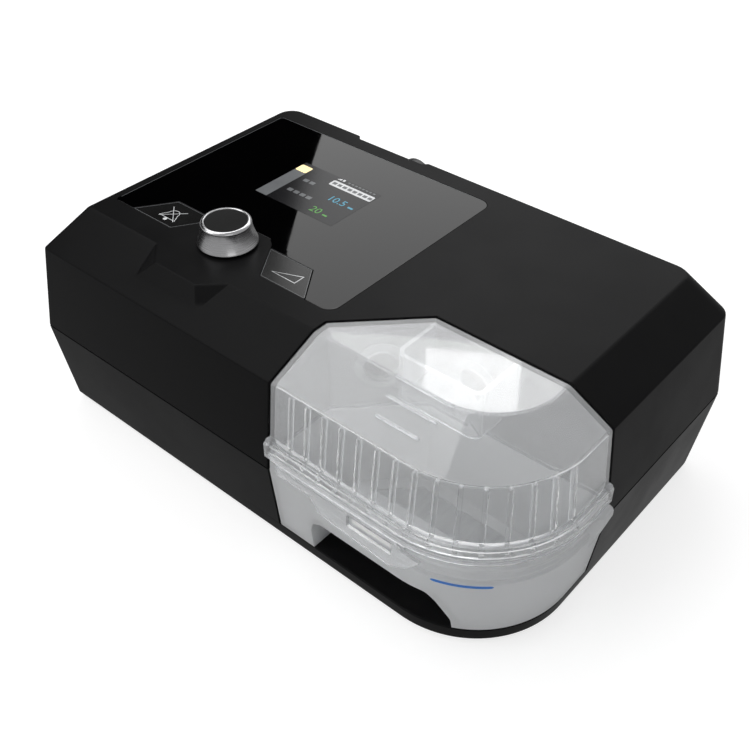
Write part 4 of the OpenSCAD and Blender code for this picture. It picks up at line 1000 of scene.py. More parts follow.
def base_radii(z, notched):
    """Radius of each upright corner of the lower shell at heights z."""
    small = CORNER_R - wall_inset(z)
    none = np.zeros_like(z) + 1e-4
    sharp = none + SHARP_R
    rear = none + BACK_RIGHT_R
    if notched:
        return np.stack([sharp, none, none + 1, none + 1, none, rear, small], -1)
    return np.stack([sharp, none, NOSE_R - wall_inset(z), none, rear, small], -1)


LOW_RING = Ring(
    [even(8), even(0), even(32), even(0), even(8), even(8)],
    [inner(6), inner(3), inner(2), inner(5), inner(6), inner(6)],
)
HIGH_RING = Ring(
    [even(8), even(0), even(4), even(4), even(0), even(8), even(8)],
    [inner(6), inner(2), inner(1), inner(2), inner(5), inner(6), inner(6)],
)


def recess(skin, rim_points, floor_points, floor_u, floor_v, deeper=None):
    """Walls and floor of a recess whose rim and floor are loops of as many points, seen from
    outside anticlockwise. deeper adds a second, smaller recess in its floor."""
    rim = skin.add(rim_points)
    floor = skin.add(floor_points)
    skin.band(rim, floor)
    if deeper is None:
        skin.fill([floor], floor_u, floor_v)
    else:
        near, far = (skin.add(p) for p in deeper)
        skin.fill([floor, near], floor_u, floor_v)
        skin.band(near, far)
        skin.fill([far], floor_u, floor_v)
    return rim


def rounded_rect(u0, v0, u1, v1, r, steps=4):
    """Rounded rectangle as (n, 2) points, anticlockwise."""
    return simple_ring(4, steps).points(np.array(rect(u0, v0, u1, v1)), r)


def recess_outline(size, margin=(0, 0), r=None):
    """Places along a wall and heights round a recess, drawn in by margins, anticlockwise seen
    from outside, where the wall's own axis runs left."""
    x0, z0 = size["at"] + margin[0], size["z"] + margin[1]
    x1, z1 = size["at"] + size["w"] - margin[0], size["z"] + size["h"] - margin[1]
    loop = rounded_rect(-x1, z0, -x0, z1, r or size["r"])
    return -loop[:, 0], loop[:, 1]


def points_at(x, y, z):
    """Points (..., 3) from arrays of a common shape or single numbers."""
    return np.stack(np.broadcast_arrays(x, y, z), -1)


def base_below(skin):
    """The lower shell's outer rings up to the tray, with a rounded bottom edge. The lip in front
    of the chamber has a soft upper edge too, which fades out at both ends. Returns the bottom
    loop and the lip's upper line."""
    bottom_r, lip_r = 1.4, 0.8
    rise = bottom_r * np.array([0, 0.05, 0.15, 0.3, 0.5, 0.75, 1])
    z = np.concatenate([BOTTOM + rise, TRAY - np.array([lip_r, 0.5, 0.25, 0.08, 0])])
    corners = offset_corners(base_corners(z, False), crown(z - BOTTOM, bottom_r)[:, None])
    plan = LOW_RING.points(corners, base_radii(z, False))
    columns = np.arange(LOW_RING.count)
    start, end = LOW_RING.first[1], LOW_RING.first[3]
    fade = np.clip(np.minimum(columns - start, end - columns) / 2, 0, 1)
    lip = crown(TRAY - z, lip_r)[:, None] * fade
    plan = plan + inward_normals(plan) * lip[..., None]
    grid = skin.add(at_height(plan, z[:, None]))
    skin.sheet(grid)
    return grid[0], grid[-1, start : end + 1]


def base_above(skin):
    """The lower shell's outer rings from the tray to the seam, with the bay cut out."""
    z = np.array([TRAY, 20, SEAM - 0.35, SEAM - 0.12, SEAM])
    seam_edge = np.array([0, 0, 0, 0.1, 0.35])
    outer_sides = np.array([1, 0, 0, 0, 1, 1, 1])
    corners = offset_corners(base_corners(z, True), seam_edge[:, None] * outer_sides)
    return skin.add(at_height(HIGH_RING.points(corners, base_radii(z, True)), z[:, None]))


def add_tray(skin, lip_edge, bay_edge):
    """Tray floor under the chamber, with the window that the heater plate stands in."""
    low, high = HEATER_LOW[:2] - HEATER_GAP, HEATER_HIGH[:2] + HEATER_GAP
    window = cornered_plan(*low, *high, 7, 0.6)
    top, floor = (skin.add(at_height(window, z)) for z in (TRAY, TRAY - HEATER_SINK))
    skin.fill([np.concatenate([lip_edge, bay_edge[::-1][1:-1]]), top], X, Y)
    skin.band(floor, top, flip=True)
    skin.fill([floor], X, Y)


def add_back_recesses(skin, high):
    """The recesses of the filter door and the supply socket, in the flat block of the back wall
    that it returns."""
    loops = []
    for size, window in ((FILTER_RECESS, (4, 4)), (SOCKET_RECESS, None)):
        x, z = recess_outline(size)
        floor_y = BACK - size["deep"]
        deeper = None
        if window:
            near_x, near_z = recess_outline(size, window, 0.8)
            near = points_at(near_x, floor_y, near_z)
            deeper = (near, near - 5.5 * Y)
        rim = points_at(x, BACK - wall_inset(z), z)
        loops.append(recess(skin, rim, points_at(x, floor_y, z), -X, Z, deeper))
    block = (0, len(high) - 3, HIGH_RING.last[5], HIGH_RING.first[6])
    up = unit(np.array([0, LOWER_IN, SEAM - BOTTOM]))
    skin.fill([skin.box_loop(high, block)] + loops, -X, up)
    return block


def add_card_recess(skin, high):
    """The memory card's recess and slot, in the flat block of the left wall that it returns."""
    y, z = recess_outline(CARD_RECESS)
    floor_x = LEFT + CARD_RECESS["deep"]
    slot_y, slot_z = recess_outline(CARD_RECESS, (2, 3), 0.3)
    near = points_at(floor_x, slot_y, slot_z)
    rim = points_at(LEFT + wall_inset(z), y, z)
    loop = recess(skin, rim, points_at(floor_x, y, z), -Y, Z, (near, near + 6 * X))
    block = (0, len(high) - 3, HIGH_RING.last[6], HIGH_RING.count)
    up = unit(np.array([-LOWER_IN, 0, SEAM - BOTTOM]))
    skin.fill([skin.box_loop(high, block), loop], -Y, up)
    return block


def add_underside(skin, outline):
    """The underside with the feet's seats and the holes of the case screws."""
    feet = [(circle((x, y, BOTTOM), FOOT_SEAT_R, X, Y), BOTTOM + 1) for x, y in FEET]
    screws = [(circle((x, y, BOTTOM), SCREW_HOLE_R, X, Y, 24), SEAM - 6) for x, y in CASE_SCREWS]
    loops = [outline]
    for points, z_end in feet + screws:
        near = skin.add(points)
        far = skin.add(points * (1, 1, 0) + (0, 0, z_end))
        skin.band(near, far, flip=True)
        skin.fill([far], X, -Y)
        loops.append(near)
    skin.fill(loops, X, -Y)


def build_base_shell():
    """The lower shell: outside below and above the tray, tray, recesses, underside, inside."""
    skin = Skin()
    outline, lip_edge = base_below(skin)
    high = base_above(skin)
    add_tray(skin, lip_edge, high[0, HIGH_RING.first[1] : HIGH_RING.first[4] + 1])
    open_blocks = [add_back_recesses(skin, high), add_card_recess(skin, high)]
    skin.sheet(high, skip=open_blocks)
    add_underside(skin, outline)
    z = np.array([BOTTOM + WALL, SEAM])
    corners = offset_corners(base_corners(z, True), WALL)
    inside = skin.add(at_height(HIGH_RING.points(corners, base_radii(z, True) * 0.8), z[:, None]))
    skin.sheet(inside, flip=True)
    skin.fill([inside[0]], X, Y)
    skin.band(high[-1], inside[-1])
    skin.make("case_base", "case", "case_plastic", ["base_shell"])


def cornered_plan(x0, y0, x1, y1, margin, r):
    """Rectangle whose back left corner is cut to keep a margin from the bay's slanting wall:
    along y = x + k."""
    k = BAY_BACK - BAY_SLANT - BAY_LEFT - margin * math.sqrt(2)
    corners = np.array([(x0, y0), (x1, y0), (x1, y1), (y1 - k, y1), (x0, x0 + k)])
    return simple_ring(5, 4).points(corners, r)


# ---- control panel ----

# shares of a plate's edge radius at which its rounded edge has rows, from the face inwards
PLATE_SHARES = np.array([0, 0.08, 0.25, 0.55, 1])


def plate_rows(low, high, edge):
    """Places of a plate's rings from its low to its high face, and how far each is drawn in:
    by the crown of a quarter circle at both faces."""
    h = edge * PLATE_SHARES
    inset = crown(h, edge)
    return np.concatenate([low + h, high - h[::-1]]), np.concatenate([inset, inset[::-1]])


def plate_plans(ring, corners, radii, inward):
    """Outlines of a plate's rings (rows, columns, 2), their corner radii drawn in too."""
    rows = offset_corners(np.broadcast_to(corners, (len(inward),) + corners.shape), inward[:, None])
    return ring.points(rows, np.maximum(radii - inward[:, None], 0.05))


def plate_skin(skin, ring, corners, radii, z0, z1, edge):
    """A level plate between two heights with softened edges."""
    z, inward = plate_rows(z0, z1, edge)
    grid = skin.add(at_height(plate_plans(ring, corners, radii, inward), z[:, None]))
    skin.sheet(grid)
    skin.fill([grid[-1]], X, Y)
    skin.fill([grid[0]], X, -Y)


def build_glass_panel():
    """The glass, which goes round the buttons and the dial."""
    skin = Skin()
    corners = glass_corners(0.0, PLATE_GAP, True)
    radii = glass_radii(len(corners), 0)
    plate_skin(skin, simple_ring(len(corners)), corners, radii, TOP - GLASS_T, TOP, 0.25)
    skin.make("control_glass", "case", "panel_glass", ["glass_panel"])


def button_corners(side):
    """Corners of one leaning push button, anticlockwise; side is -1 left of the dial, 1 right."""
    y0, y1 = GLASS_LOW[1], GLASS_LOW[1] + BUTTON_D
    inner_front, inner_back = (dial_bed_half(y) + PLATE_GAP for y in (y0, y1))
    outer = BUTTON_INNER + BUTTON_W
    points = [(inner_front, y0), (outer, y0), (outer - BUTTON_LEAN, y1), (inner_back, y1)]
    plan = np.array([(KNOB_X + side * x, y) for x, y in points])
    return plan if side > 0 else plan[::-1]


def build_button(side, name, node):
    """One push button: its plate, and the post under it that meets the switch."""
    skin = Skin()
    radii = np.full(4, 0.6)
    plate_skin(skin, simple_ring(4, 4), button_corners(side), radii, TOP - BUTTON_T, TOP, 0.3)
    x = KNOB_X + side * (BUTTON_INNER + (BUTTON_W - BUTTON_LEAN) / 2)
    y = GLASS_LOW[1] + BUTTON_D / 2
    heights = (box_mm(node)[0][2], TOP - BUTTON_T + 0.1)
    foot, head = (skin.add(circle((x, y, z), 2.5, X, Y, 24)) for z in heights)
    skin.band(foot, head)
    skin.fill([foot], X, -Y)
    skin.fill([head], X, Y)
    skin.make(name, node, "panel_glass", [node], look="key_gloss")


def lathe(skin, centre, profile, n=128):
    """Surface of a profile of (radius, height) points turned round an upright axis. The profile
    runs anticlockwise in its own plane, from the axis at the bottom to the axis at the top."""
    profile = np.asarray(profile, float)
    a = np.linspace(0, 2 * np.pi, n, endpoint=False)
    x = centre[0] + profile[:, :1] * np.cos(a)
    y = centre[1] + profile[:, :1] * np.sin(a)
    skin.sheet(skin.add(points_at(x, y, centre[2] + profile[:, 1:])))


DIAL_RIM_H = 1.3
DIAL_DISH_R = 10.2
DIAL_DISH_D = 1.7
CAP_R = 9.6


def build_dial():
    """The dial: a foot, a flank whose radius falls as (1-k)^1.7, and a bright rim round a dish."""
    height = KNOB_HIGH[2] - KNOB_LOW[2]
    rim_z = height - DIAL_RIM_H
    top_r = KNOB_R - 2.5
    k = np.linspace(0, 1, 17)
    flank = np.stack([top_r + (KNOB_R - top_r) * (1 - k) ** 1.7, 0.75 + (rim_z - 0.75) * k], -1)
    foot = [(10.9, 0.35), (12.9, 0.0), (KNOB_R - 0.35, 0.0), (KNOB_R, 0.35), (KNOB_R, 0.8)]
    rim = soft_line(
        [
            (top_r, rim_z - 0.25),
            (top_r + 0.05, rim_z),
            (top_r - 0.1, height - 0.75),
            (top_r - 0.95, height),
            (DIAL_DISH_R + 0.35, height),
            (DIAL_DISH_R, height - 0.3),
            (DIAL_DISH_R, height - DIAL_DISH_D),
        ],
        [0, 0.12, 0.3, 0.45, 0.12, 0.12, 0],
        5,
    )
    # the hollow underneath clears the encoder's collar when the dial is pressed
    hollow = [(0, 2.3), (4.60, 2.3), (4.60, 0.35)]
    dish = [(0, height - DIAL_DISH_D)]
    skin = Skin()
    profile = np.concatenate([hollow, soft_line(foot, 0.25, 4)[:-1], flank[:-1], rim, dish])
    lathe(skin, (KNOB_X, KNOB_Y, KNOB_LOW[2]), profile)
    skin.make("dial_body", "dial", "dial_metal", ["knob"], sharp=30)


def build_dial_cap():
    """The dark disc in the dial's dish, its top hollowed by a parabola."""
    skin = Skin()
    thick = CAP_HIGH[2] - CAP_LOW[2]
    r = np.linspace(CAP_R, 0, 9)
    top = np.stack([r, thick - 0.18 * (1 - (r / CAP_R) ** 2)], -1)
    outer = DIAL_DISH_R - 0.04
    side = soft_line([(0, 0), (outer, 0), (outer, thick), (CAP_R, thick)], [0, 0.1, 0.35, 0], 5)
    lathe(skin, (KNOB_X, KNOB_Y, CAP_LOW[2]), np.concatenate([side[:-1], top]), 96)
    skin.make("dial_cap_disc", "dial", "dial_cap", ["knob_insert"], sharp=30)


def stroke(points, width, closed=False):
    """Flat line of a width along points: each point moves to both sides by half the width
    along the mitre of its two segments."""
    p = np.asarray(points, float)
    before = np.roll(p, 1, 0) if closed else np.concatenate([2 * p[:1] - p[1:2], p[:-1]])
    after = np.roll(p, -1, 0) if closed else np.concatenate([p[1:], 2 * p[-1:] - p[-2:-1]])
    d0, d1 = unit(p - before), unit(after - p)
    n0 = np.stack([-d0[:, 1], d0[:, 0]], -1)
    n1 = np.stack([-d1[:, 1], d1[:, 0]], -1)
    mitre = (n0 + n1) / np.maximum(1 + (n0 * n1).sum(-1, keepdims=True), 0.3)
    return p - mitre * width / 2, p + mitre * width / 2


MARK_T = 0.05


def add_stroke(skin, points, width, z, closed=False):
    """Adds a raised print line: the stroke's two sides at the print's foot and its top."""
    right, left = stroke(points, width, closed)
    sides = ((right, z), (right, z + MARK_T), (left, z + MARK_T), (left, z))
    grid = np.stack([skin.add(at_height(side, height)) for side, height in sides])
    for a, b in zip(grid, np.roll(grid, -1, 0)):
        skin.band(a, b, closed=closed)
    if not closed:
        skin.faces.append(grid[::-1, 0][None])
        skin.faces.append(grid[:, -1][None])


def add_patch(skin, corners, radius, z, steps=4):
    """Adds a thin printed patch with rounded corners."""
    plan = simple_ring(len(corners), steps).points(corners, radius)
    grid = skin.add(np.stack([at_height(plan, z), at_height(plan, z + MARK_T)]))
    skin.sheet(grid)
    skin.fill([grid[1]], X, Y)
    skin.fill([grid[0]], X, -Y)


def build_mute_mark(width):
    """A bell: dome on a wide foot with its clapper, struck out by two lines."""
    skin = Skin()
    x, y = KNOB_X - 39.2, KNOB_Y - 0.8
    a = np.linspace(np.pi, 0, 13)
    dome = np.stack([x + 3.1 * np.cos(a), y + 0.8 + 3.2 * np.sin(a)], -1)
    bell = np.concatenate([[(x - 5.4, y - 3.4)], dome, [(x + 5.4, y - 3.4)]])
    add_stroke(skin, bell, width, TOP, closed=True)
    add_stroke(skin, [(x - 5.2, y - 4.2), (x + 5.2, y + 5.8)], width, TOP + MARK_T)
    add_stroke(skin, [(x + 5.4, y - 4.4), (x - 5.0, y + 5.6)], width, TOP + MARK_T * 2)
    add_patch(skin, circle((x, y - 4.6, 0), 1.1, X, Y, 16)[:, :2], 0.01, TOP, 0)
    skin.make("mute_mark", "mute_button", "mark_white", sharp=30)


def build_ramp_mark(width):
    """A long wedge that rises to the right."""
    skin = Skin()
    x, y = KNOB_X + 32.6, KNOB_Y - 3.3
    wedge = [(x, y), (x + 14.4, y - 0.1), (x + 14.4, y + 6.0)]
    add_stroke(skin, wedge, width, TOP, closed=True)
    skin.make("ramp_mark", "ramp_button", "mark_white", sharp=30)


def build_painted_edge_highlights():
    """Painted edge highlights: fine light lines along the glass's left and back edge and round both buttons.
    """
    skin = Skin()
    (x0, y0), (x1, y1) = GLASS_LOW[:2] + 0.4, GLASS_HIGH[:2] - 0.4
    edge = [(x0, y0 + 3), (x0, y1 - 1.3), (x0 + 1.3, y1), (x1 - 6, y1)]
    # painted highlight along the glass's left and back edge
    add_stroke(skin, edge, 0.22, TOP)
    skin.make("glass_edge_line", "case", "mark_grey", sharp=30)
    for side, name in ((-1, "mute"), (1, "ramp")):
        skin = Skin()
        # each button's outline is a painted highlight round its edge, not a print
        add_stroke(skin, offset_corners(button_corners(side), 0.35), 0.2, TOP, closed=True)
        skin.make(name + "_outline", name + "_button", "mark_grey", sharp=30)


def text_mesh(words, size, place, name, slot):
    """Plain numbers on the screen: a text made a mesh, then set in its place."""
    curve = bpy.data.curves.new(name, "FONT")
    curve.body = words
    curve.size = size * MM
    curve.extrude = MARK_T * MM / 2
    curve.resolution_u = 6
    text = bpy.data.objects.new(name + "_text", curve)
    bpy.context.scene.collection.objects.link(text)
    bpy.context.view_layer.update()
    mesh = bpy.data.meshes.new_from_object(text.evaluated_get(bpy.context.evaluated_depsgraph_get()))
    bpy.data.objects.remove(text)
    mesh.transform(Matrix.Translation(Vector((*place, TOP + 1.5 * MARK_T)) * MM))
    return dress(mesh, name, "case", slot, sharp=30)


# the lit screen behind the glass: its front left corner and its size
SCREEN_AT = box_mm("lcd_module")[0][:2] + (7.0, 6.0)
SCREEN_W = 52.5
SCREEN_D = 38.0


def row_of(x, y, w, d, count, step):
    """Equal rectangles in a row that starts at x, y."""
    return [rect(x + step * k, y, x + step * k + w, y + d) for k in range(count)]


def build_patches(name, slot, layer, patches):
    """One print of the screen: (radius, corners) patches, placed from the screen's front left
    corner, a number of print layers above the glass."""
    skin = Skin()
    for radius, corners in patches:
        add_patch(skin, np.array(corners) + SCREEN_AT, radius, TOP + layer * MARK_T)
    skin.make(name, "case", slot, sharp=30)


def build_screen():
    """The picture under the glass: dim field, side bar, cell, status bar, rows and two numbers."""
    rows = [(0.4, r) for r in row_of(11.4, 22.9, 3.2, 2.6, 2, 4.3)]
    rows += [(0.4, r) for r in row_of(11.4, 11.1, 3.2, 2.6, 4, 4.3)]
    rows += [(0.2, r) for r in row_of(31.2, 36.0, 1.6, 1.1, 8, 2.4)]
    dashes = [(0.3, r) for r in row_of(25.2, 30.6, 2.4, 2.1, 8, 3.4)]
    signs = [(0.1, [(24.2, 35.8), (26.8, 35.8), (26.8, 37.6)]), (0.1, rect(27.6, 35.9, 29.0, 37.6))]
    build_patches("screen_field", "mark_dark", 0, [(0.3, rect(0, 0, SCREEN_W, SCREEN_D))])
    build_patches("screen_side_bar", "mark_grey", 1, [(0.1, rect(0.1, 0.1, 7.9, 29.0))])
    build_patches("screen_cell", "mark_cream", 1, [(0.9, rect(0.1, 29.2, 7.6, 35.4))])
    build_patches("screen_status", "mark_white", 1, [(0.9, rect(24.0, 29.1, SCREEN_W - 0.6, 34.2))])
    build_patches("screen_rows", "mark_grey", 1, rows)
    build_patches("screen_dashes", "mark_grey", 2, dashes)
    build_patches("screen_signs", "mark_white", 1, signs)
    text_mesh("10.5", 6.8, SCREEN_AT + (33.2, 17.2), "pressure_number", "mark_cyan")
    text_mesh("20", 6.8, SCREEN_AT + (33.2, 4.0), "minutes_number", "mark_green")
    build_patches("pressure_unit", "mark_cyan", 1, [(0.3, rect(47.0, 17.7, 50.2, 19.0))])
    build_patches("minutes_unit", "mark_green", 1, [(0.3, rect(42.0, 4.5, 45.0, 5.7))])


# ---- humidifier chamber ----

LID_T = 2.0
RIM = SEAM + 10.6
FLANGE = RIM + 9.0
TUB_RIM = RIM - 0.25
FLANGE_PROUD = 2.2
SIDE_PROUD = 0.9
LID_TOP_R = 33.0
RIB_COUNT = 15
RIB_W = 1.6
RIB_D = 1.9


def chamber_corners(front_in, right_in, t):
    """Corners of the chamber's outline, anticlockwise from the front left: front right (large),
    back right, and the two corners of the slanting wall. t draws the other walls in."""
    g = BAY_GAP + t
    slant = g * math.sqrt(2)
    front_in = np.asarray(front_in, float)
    right_in = np.asarray(right_in, float)
    one = np.ones_like(front_in)
    rows = [
        ((BAY_LEFT + g) * one, FRONT + front_in),
        (RIGHT - right_in, FRONT + front_in),
        (RIGHT - right_in, (BAY_BACK - g) * one),
        ((BAY_LEFT + BAY_SLANT - g + slant) * one, (BAY_BACK - g) * one),
        ((BAY_LEFT + g) * one, (BAY_BACK - BAY_SLANT + g - slant) * one),
    ]
    return np.stack([np.stack(row, -1) for row in rows], -2)


def chamber_radii(nose, small):
    """Corner radii that go with chamber_corners: the front right one and the small others."""
    one = np.ones_like(nose)
    return np.stack([small * one, nose, small * one, small * one, small * one], -1)


def rib_places():
    """Where the lid's ribs stand: x along the straight front, then angles round the corner."""
    inset = wall_inset(BAND - 1.5) + LID_T
    r = NOSE_R - inset
    x0 = BAY_LEFT + BAY_GAP + LID_T + 5
    straight = NOSE_CENTRE[0] - x0
    step = (straight + r * np.pi / 2) / RIB_COUNT
    s = step * (np.arange(RIB_COUNT) + 0.35)
    return x0 + s[s < straight], (s[s >= straight] - straight) / r


def rib_columns(centres, half, slope):
    """Places of the four columns of each rib, and 1 on its two middle ones."""
    offsets = np.array([-half - slope, -half, half, half + slope])
    return (centres[:, None] + offsets).ravel(), np.tile([0, 1, 1, 0], len(centres))


def lid_ring():
    """Ring of the lid with columns at the ribs' edges, and the ribs' mask for each column."""
    at_x, at_angle = rib_places()
    start = BAY_LEFT + BAY_GAP + LID_T
    places, front_mask = rib_columns(at_x, RIB_W / 2, 0.25)
    front = (places - start) / (NOSE_CENTRE[0] - start)
    r = NOSE_R - LID_T - 3
    angles, arc_mask = rib_columns(at_angle, RIB_W / 2 / r, 0.25 / r)
    between = (at_angle[1:] + at_angle[:-1]) / 2
    extra = np.concatenate([[0, at_angle[0] / 2], between, [(at_angle[-1] + np.pi / 2) / 2, np.pi / 2]])
    thirds = (at_angle[1:, None] * [0.28, 0.72] + at_angle[:-1, None] * [0.72, 0.28]).ravel()
    extra = np.concatenate([extra, thirds])
    fractions = np.concatenate([angles, extra]) / (np.pi / 2)
    mask = np.concatenate([arc_mask, np.zeros(len(extra))])
    order = np.argsort(fractions)
    keep = (fractions[order] >= 0) & (fractions[order] <= 1)
    arc, mask = fractions[order][keep], mask[order][keep]
    ring = Ring(
        [even(3), arc, even(3), even(3), even(3)],
        [front, inner(3), inner(1), inner(1), inner(2)],
    )
    columns = np.zeros(ring.count)
    columns[ring.last[0] + 1 : ring.last[0] + 1 + len(front)] = front_mask
    columns[ring.first[1] : ring.last[1] + 1] = mask
    return ring, columns


def lid_rows(levels):
    """Rows of the lid's outline for levels of (z, front inset, right inset, nose radius, inset
    of the other walls)."""
    z, front_in, right_in, nose, t = np.array(levels, float).T
    return z, chamber_corners(front_in, right_in, t), nose


# the flange's section from its foot up: the height over the rim, and how far its front and its
# right side stand back from its proudest face
LID_LIP = (
    (0, 0.25, 0.25),
    (0.1, 0.07, 0.07),
    (0.3, 0, 0),
    (2.6, 0, 0),
    (2.75, 0.3, 0.3),
    (3.15, 0.3, 0.3),
    (3.3, 0, 0),
    (FLANGE - RIM - 1.45, 0, 0),
    (FLANGE - RIM - 1.25, 0.08, 0.08),
    (FLANGE - RIM - 1.2, 0.3, 0.3),
    (FLANGE - RIM - 1.15, 1.2, 0.7),
    (FLANGE - RIM - 0.2, 1.25, 0.75),
    (FLANGE - RIM - 0.05, 1.4, 0.85),
    (FLANGE - RIM, 1.7, 1.0),
)
LID_EDGE = 0.9
LID_PORT_R = 8.0


def lid_outside():
    """Levels of the lid's outer face: flange, wall, folded shoulder and rounded upper edge."""
    levels = []
    for h, front, side in LID_LIP:
        nose = NOSE_R + SIDE_PROUD - side
        levels.append((RIM + h, front - FLANGE_PROUD, side - SIDE_PROUD, nose, 0))
    fold = fold_levels(wall_inset(FLANGE), FLANGE, 0.9)
    for z in np.concatenate([[FLANGE + 0.02, FLANGE + 0.3, 80.0, 90.0], fold]):
        foot = np.interp(z, [FLANGE, FLANGE + 0.3], [0.35, 0])
        front, side = (side_inset(wall, z, 0.9) - foot for wall in ("front", "right"))
        levels.append((z, front, side, lid_nose(z) + foot, 0))
    for h in LID_EDGE * np.array([1, 0.8, 0.6, 0.4, 0.22, 0.09, 0.02, 0]):
        c = crown(h, LID_EDGE)
        front, side = (side_inset(wall, TOP - h) + c for wall in ("front", "right"))
        levels.append((TOP - h, front, side, lid_nose(TOP - h) - c, 0))
    return levels


def lid_inside():
    """Levels of the lid's inner face, each with a 1 where its ribs stand: the gasket's seat, the
    wall, the bend under the shoulder and the ceiling."""
    t = LID_T
    seat = RIM + 1.85
    rim = wall_inset(RIM) + 0.7
    levels = [(z, rim, rim, NOSE_R - rim, 0.7, 0) for z in (RIM, seat)]
    wall = [(seat + 0.02, 0), (seat + 0.5, 0), (seat + 0.8, 1), (80, 1)]
    for z, ribs in wall + [(BAND - 3.2, 1), (BAND - 2.6, 0)]:
        w = wall_inset(z) + t
        levels.append((z, w, w, NOSE_R - w, t, ribs))
    runs = np.array([SHOULDER_RUN["front"], SHOULDER_RUN["right"]])
    bend = BAND - 0.6 * t
    for z in bend - 0.6 + 1.5 * np.linspace(0, 1, 4):
        insets = UPPER_IN + t + max(0.0, z - bend) / SHOULDER_H * runs
        levels.append((z, *insets, lid_nose(z + 0.6 * t) - t, t, 0))
    insets = UPPER_IN + runs + 0.4
    levels.append((TOP - t - 0.3, *(insets - 0.5), LID_TOP_R - 0.2, t, 0))
    levels.append((TOP - t, *insets, LID_TOP_R - 0.4, t + 0.3, 0))
    return np.array(levels)


def build_lid():
    """The lid's clear shell with its two air ports."""
    ring, ribs = lid_ring()
    skin = Skin()
    z, corners, nose = lid_rows(lid_outside())
    # the back and slanting walls round over at the top, too
    drawn = np.zeros((len(z), 5))
    drawn[:, 2:] = crown(TOP - z, 0.8)[:, None]
    plan = ring.points(offset_corners(corners, drawn), chamber_radii(nose, 0.8))
    outer = skin.add(at_height(plan, z[:, None]))
    levels = lid_inside()
    z_in, corners, nose = lid_rows(levels[:, :5])
    plan = ring.points(corners, chamber_radii(nose, 0.6))
    plan = plan + inward_normals(plan) * (RIB_D * levels[:, 5, None] * ribs)[..., None]
    within = skin.add(at_height(plan, z_in[:, None]))
    slant = np.array([BAY_LEFT + BAY_SLANT / 2, BAY_BACK - BAY_SLANT / 2, DUCT_Z])
    ports = [
        (2, np.array([INLET_X, BAY_BACK - BAY_GAP, DUCT_Z]), -X, -Y),
        (3, slant + unit(X - Y) * BAY_GAP, -unit(X + Y), unit(X - Y)),
    ]
    # each port fills a flat block of the wall, from a row over the flange to one under the edge
    blocks, blocks_in = [], []
    for k, centre, u, inwards in ports:
        blocks.append((15, len(z) - 9, ring.last[k], ring.first[k + 1]))
        blocks_in.append((4, 6, ring.last[k], ring.first[k + 1]))
        both = (blocks[-1], blocks_in[-1])
        pierce(skin, (outer, within), both, centre, inwards * LID_T, u, LID_PORT_R)
    skin.sheet(outer, skip=blocks)
    skin.sheet(within, flip=True, skip=blocks_in)
    skin.band(outer[0], within[0], flip=True)
    skin.fill([outer[-1]], X, Y)
    skin.fill([within[-1]], X, -Y)
    skin.make("lid_shell", "lid", "clear_plastic", ["chamber_lid"], sharp=24)


def lid_nose(z):
    """Radius of the lid's large corner at height z: it shrinks over the shoulder."""
    band = NOSE_R - wall_inset(np.minimum(z, BAND))
    climb = np.clip((z - BAND) / SHOULDER_H, 0, 1)
    return band + (LID_TOP_R - band) * climb


def build_lid_grips():
    """Three grip ribs along the lid's front slope, each a capsule half sunk in the surface."""
    run, pitch, sunk = SHOULDER_RUN["front"], 8.6, 0.35
    slope = math.atan2(SHOULDER_H, run)
    up = np.array([0, -math.sin(slope), math.cos(slope)])
    across = np.array([0, math.cos(slope), math.sin(slope)])
    a = np.linspace(0, np.pi, 9)[:, None]
    section = across * 0.8 * np.cos(a) + up * 1.5 * np.sin(a)
    v = np.linspace(0, 1, 21)
    from_end = np.clip(np.minimum(v, 1 - v) / 0.06, 0, 1)
    swell = np.maximum(np.sqrt(1 - (1 - from_end) ** 2), 0.02)
    skin = Skin()
    for k in range(3):
        x = BAY_LEFT + 45.2 + 2 * k + (30.8 - 4 * k) * v
        place = (0, FRONT + UPPER_IN + run - pitch * k, TOP - pitch * k * math.tan(slope))
        middle = np.array(place) - up * sunk
        grid = skin.add(middle + section * swell[:, None, None] + x[:, None, None] * X)
        skin.sheet(grid, closed=True)
        skin.faces.append(grid[0, ::-1][None])
        skin.faces.append(grid[-1][None])
    skin.make("lid_grips", "lid", "clear_plastic", sharp=40)


def build_baffle():
    """Curtain under the lid: a U-shaped wall of even thickness with rounded corners."""
    low, high = box_mm("lid_baffle")
    t = 2.0
    x0, y0, x1, y1 = low[0], low[1], high[0], high[1] - 0.02
    outside = [(x0, y0), (x1, y0), (x1, y1)]
    inside = [(x1 - t, y1), (x1 - t, y0 + t), (x0 + t, y0 + t), (x0 + t, y1)]
    corners = np.array(outside + inside + [(x0, y1)])
    radii = np.array([5, 5, 0.2, 0.2, 3, 3, 0.2, 0.2])
    z = np.array([low[2], low[2] + 0.15, low[2] + 0.5, high[2] - 0.03])
    inward = np.array([0.45, 0.12, 0, 0])
    rows = offset_corners(np.broadcast_to(corners, (4, 8, 2)), inward[:, None])
    skin = Skin()
    grid = skin.add(at_height(simple_ring(8, 6).points(rows, radii), z[:, None]))
    skin.sheet(grid)
    skin.fill([grid[-1]], X, Y)
    skin.fill([grid[0]], X, -Y)
    skin.make("curtain", "lid", "clear_plastic", ["lid_baffle"], sharp=30)


RECESS_X = BAY_LEFT + 22
RECESS_W = 75.0
RECESS_H = 22.0
RECESS_LEAN = 6.0
RECESS_BACK = FRONT + LOWER_IN + 26


def recess_path(grow):
    """The finger recess's opening as x and z along its edge, from its left foot over its
    ceiling to its right foot, with softened corners."""
    z1 = TUB_FLOOR + RECESS_H + grow
    x0, x1 = RECESS_X - grow, RECESS_X + RECESS_W + grow
    return [
        (x0, z1 - 9),
        (x0 + 2, z1 - 3),
        (x0 + 7, z1),
        (x1 - RECESS_LEAN - 4, z1),
        (x1 - RECESS_LEAN, z1 - 4),
        (x1, TUB_FLOOR + 6),
    ]


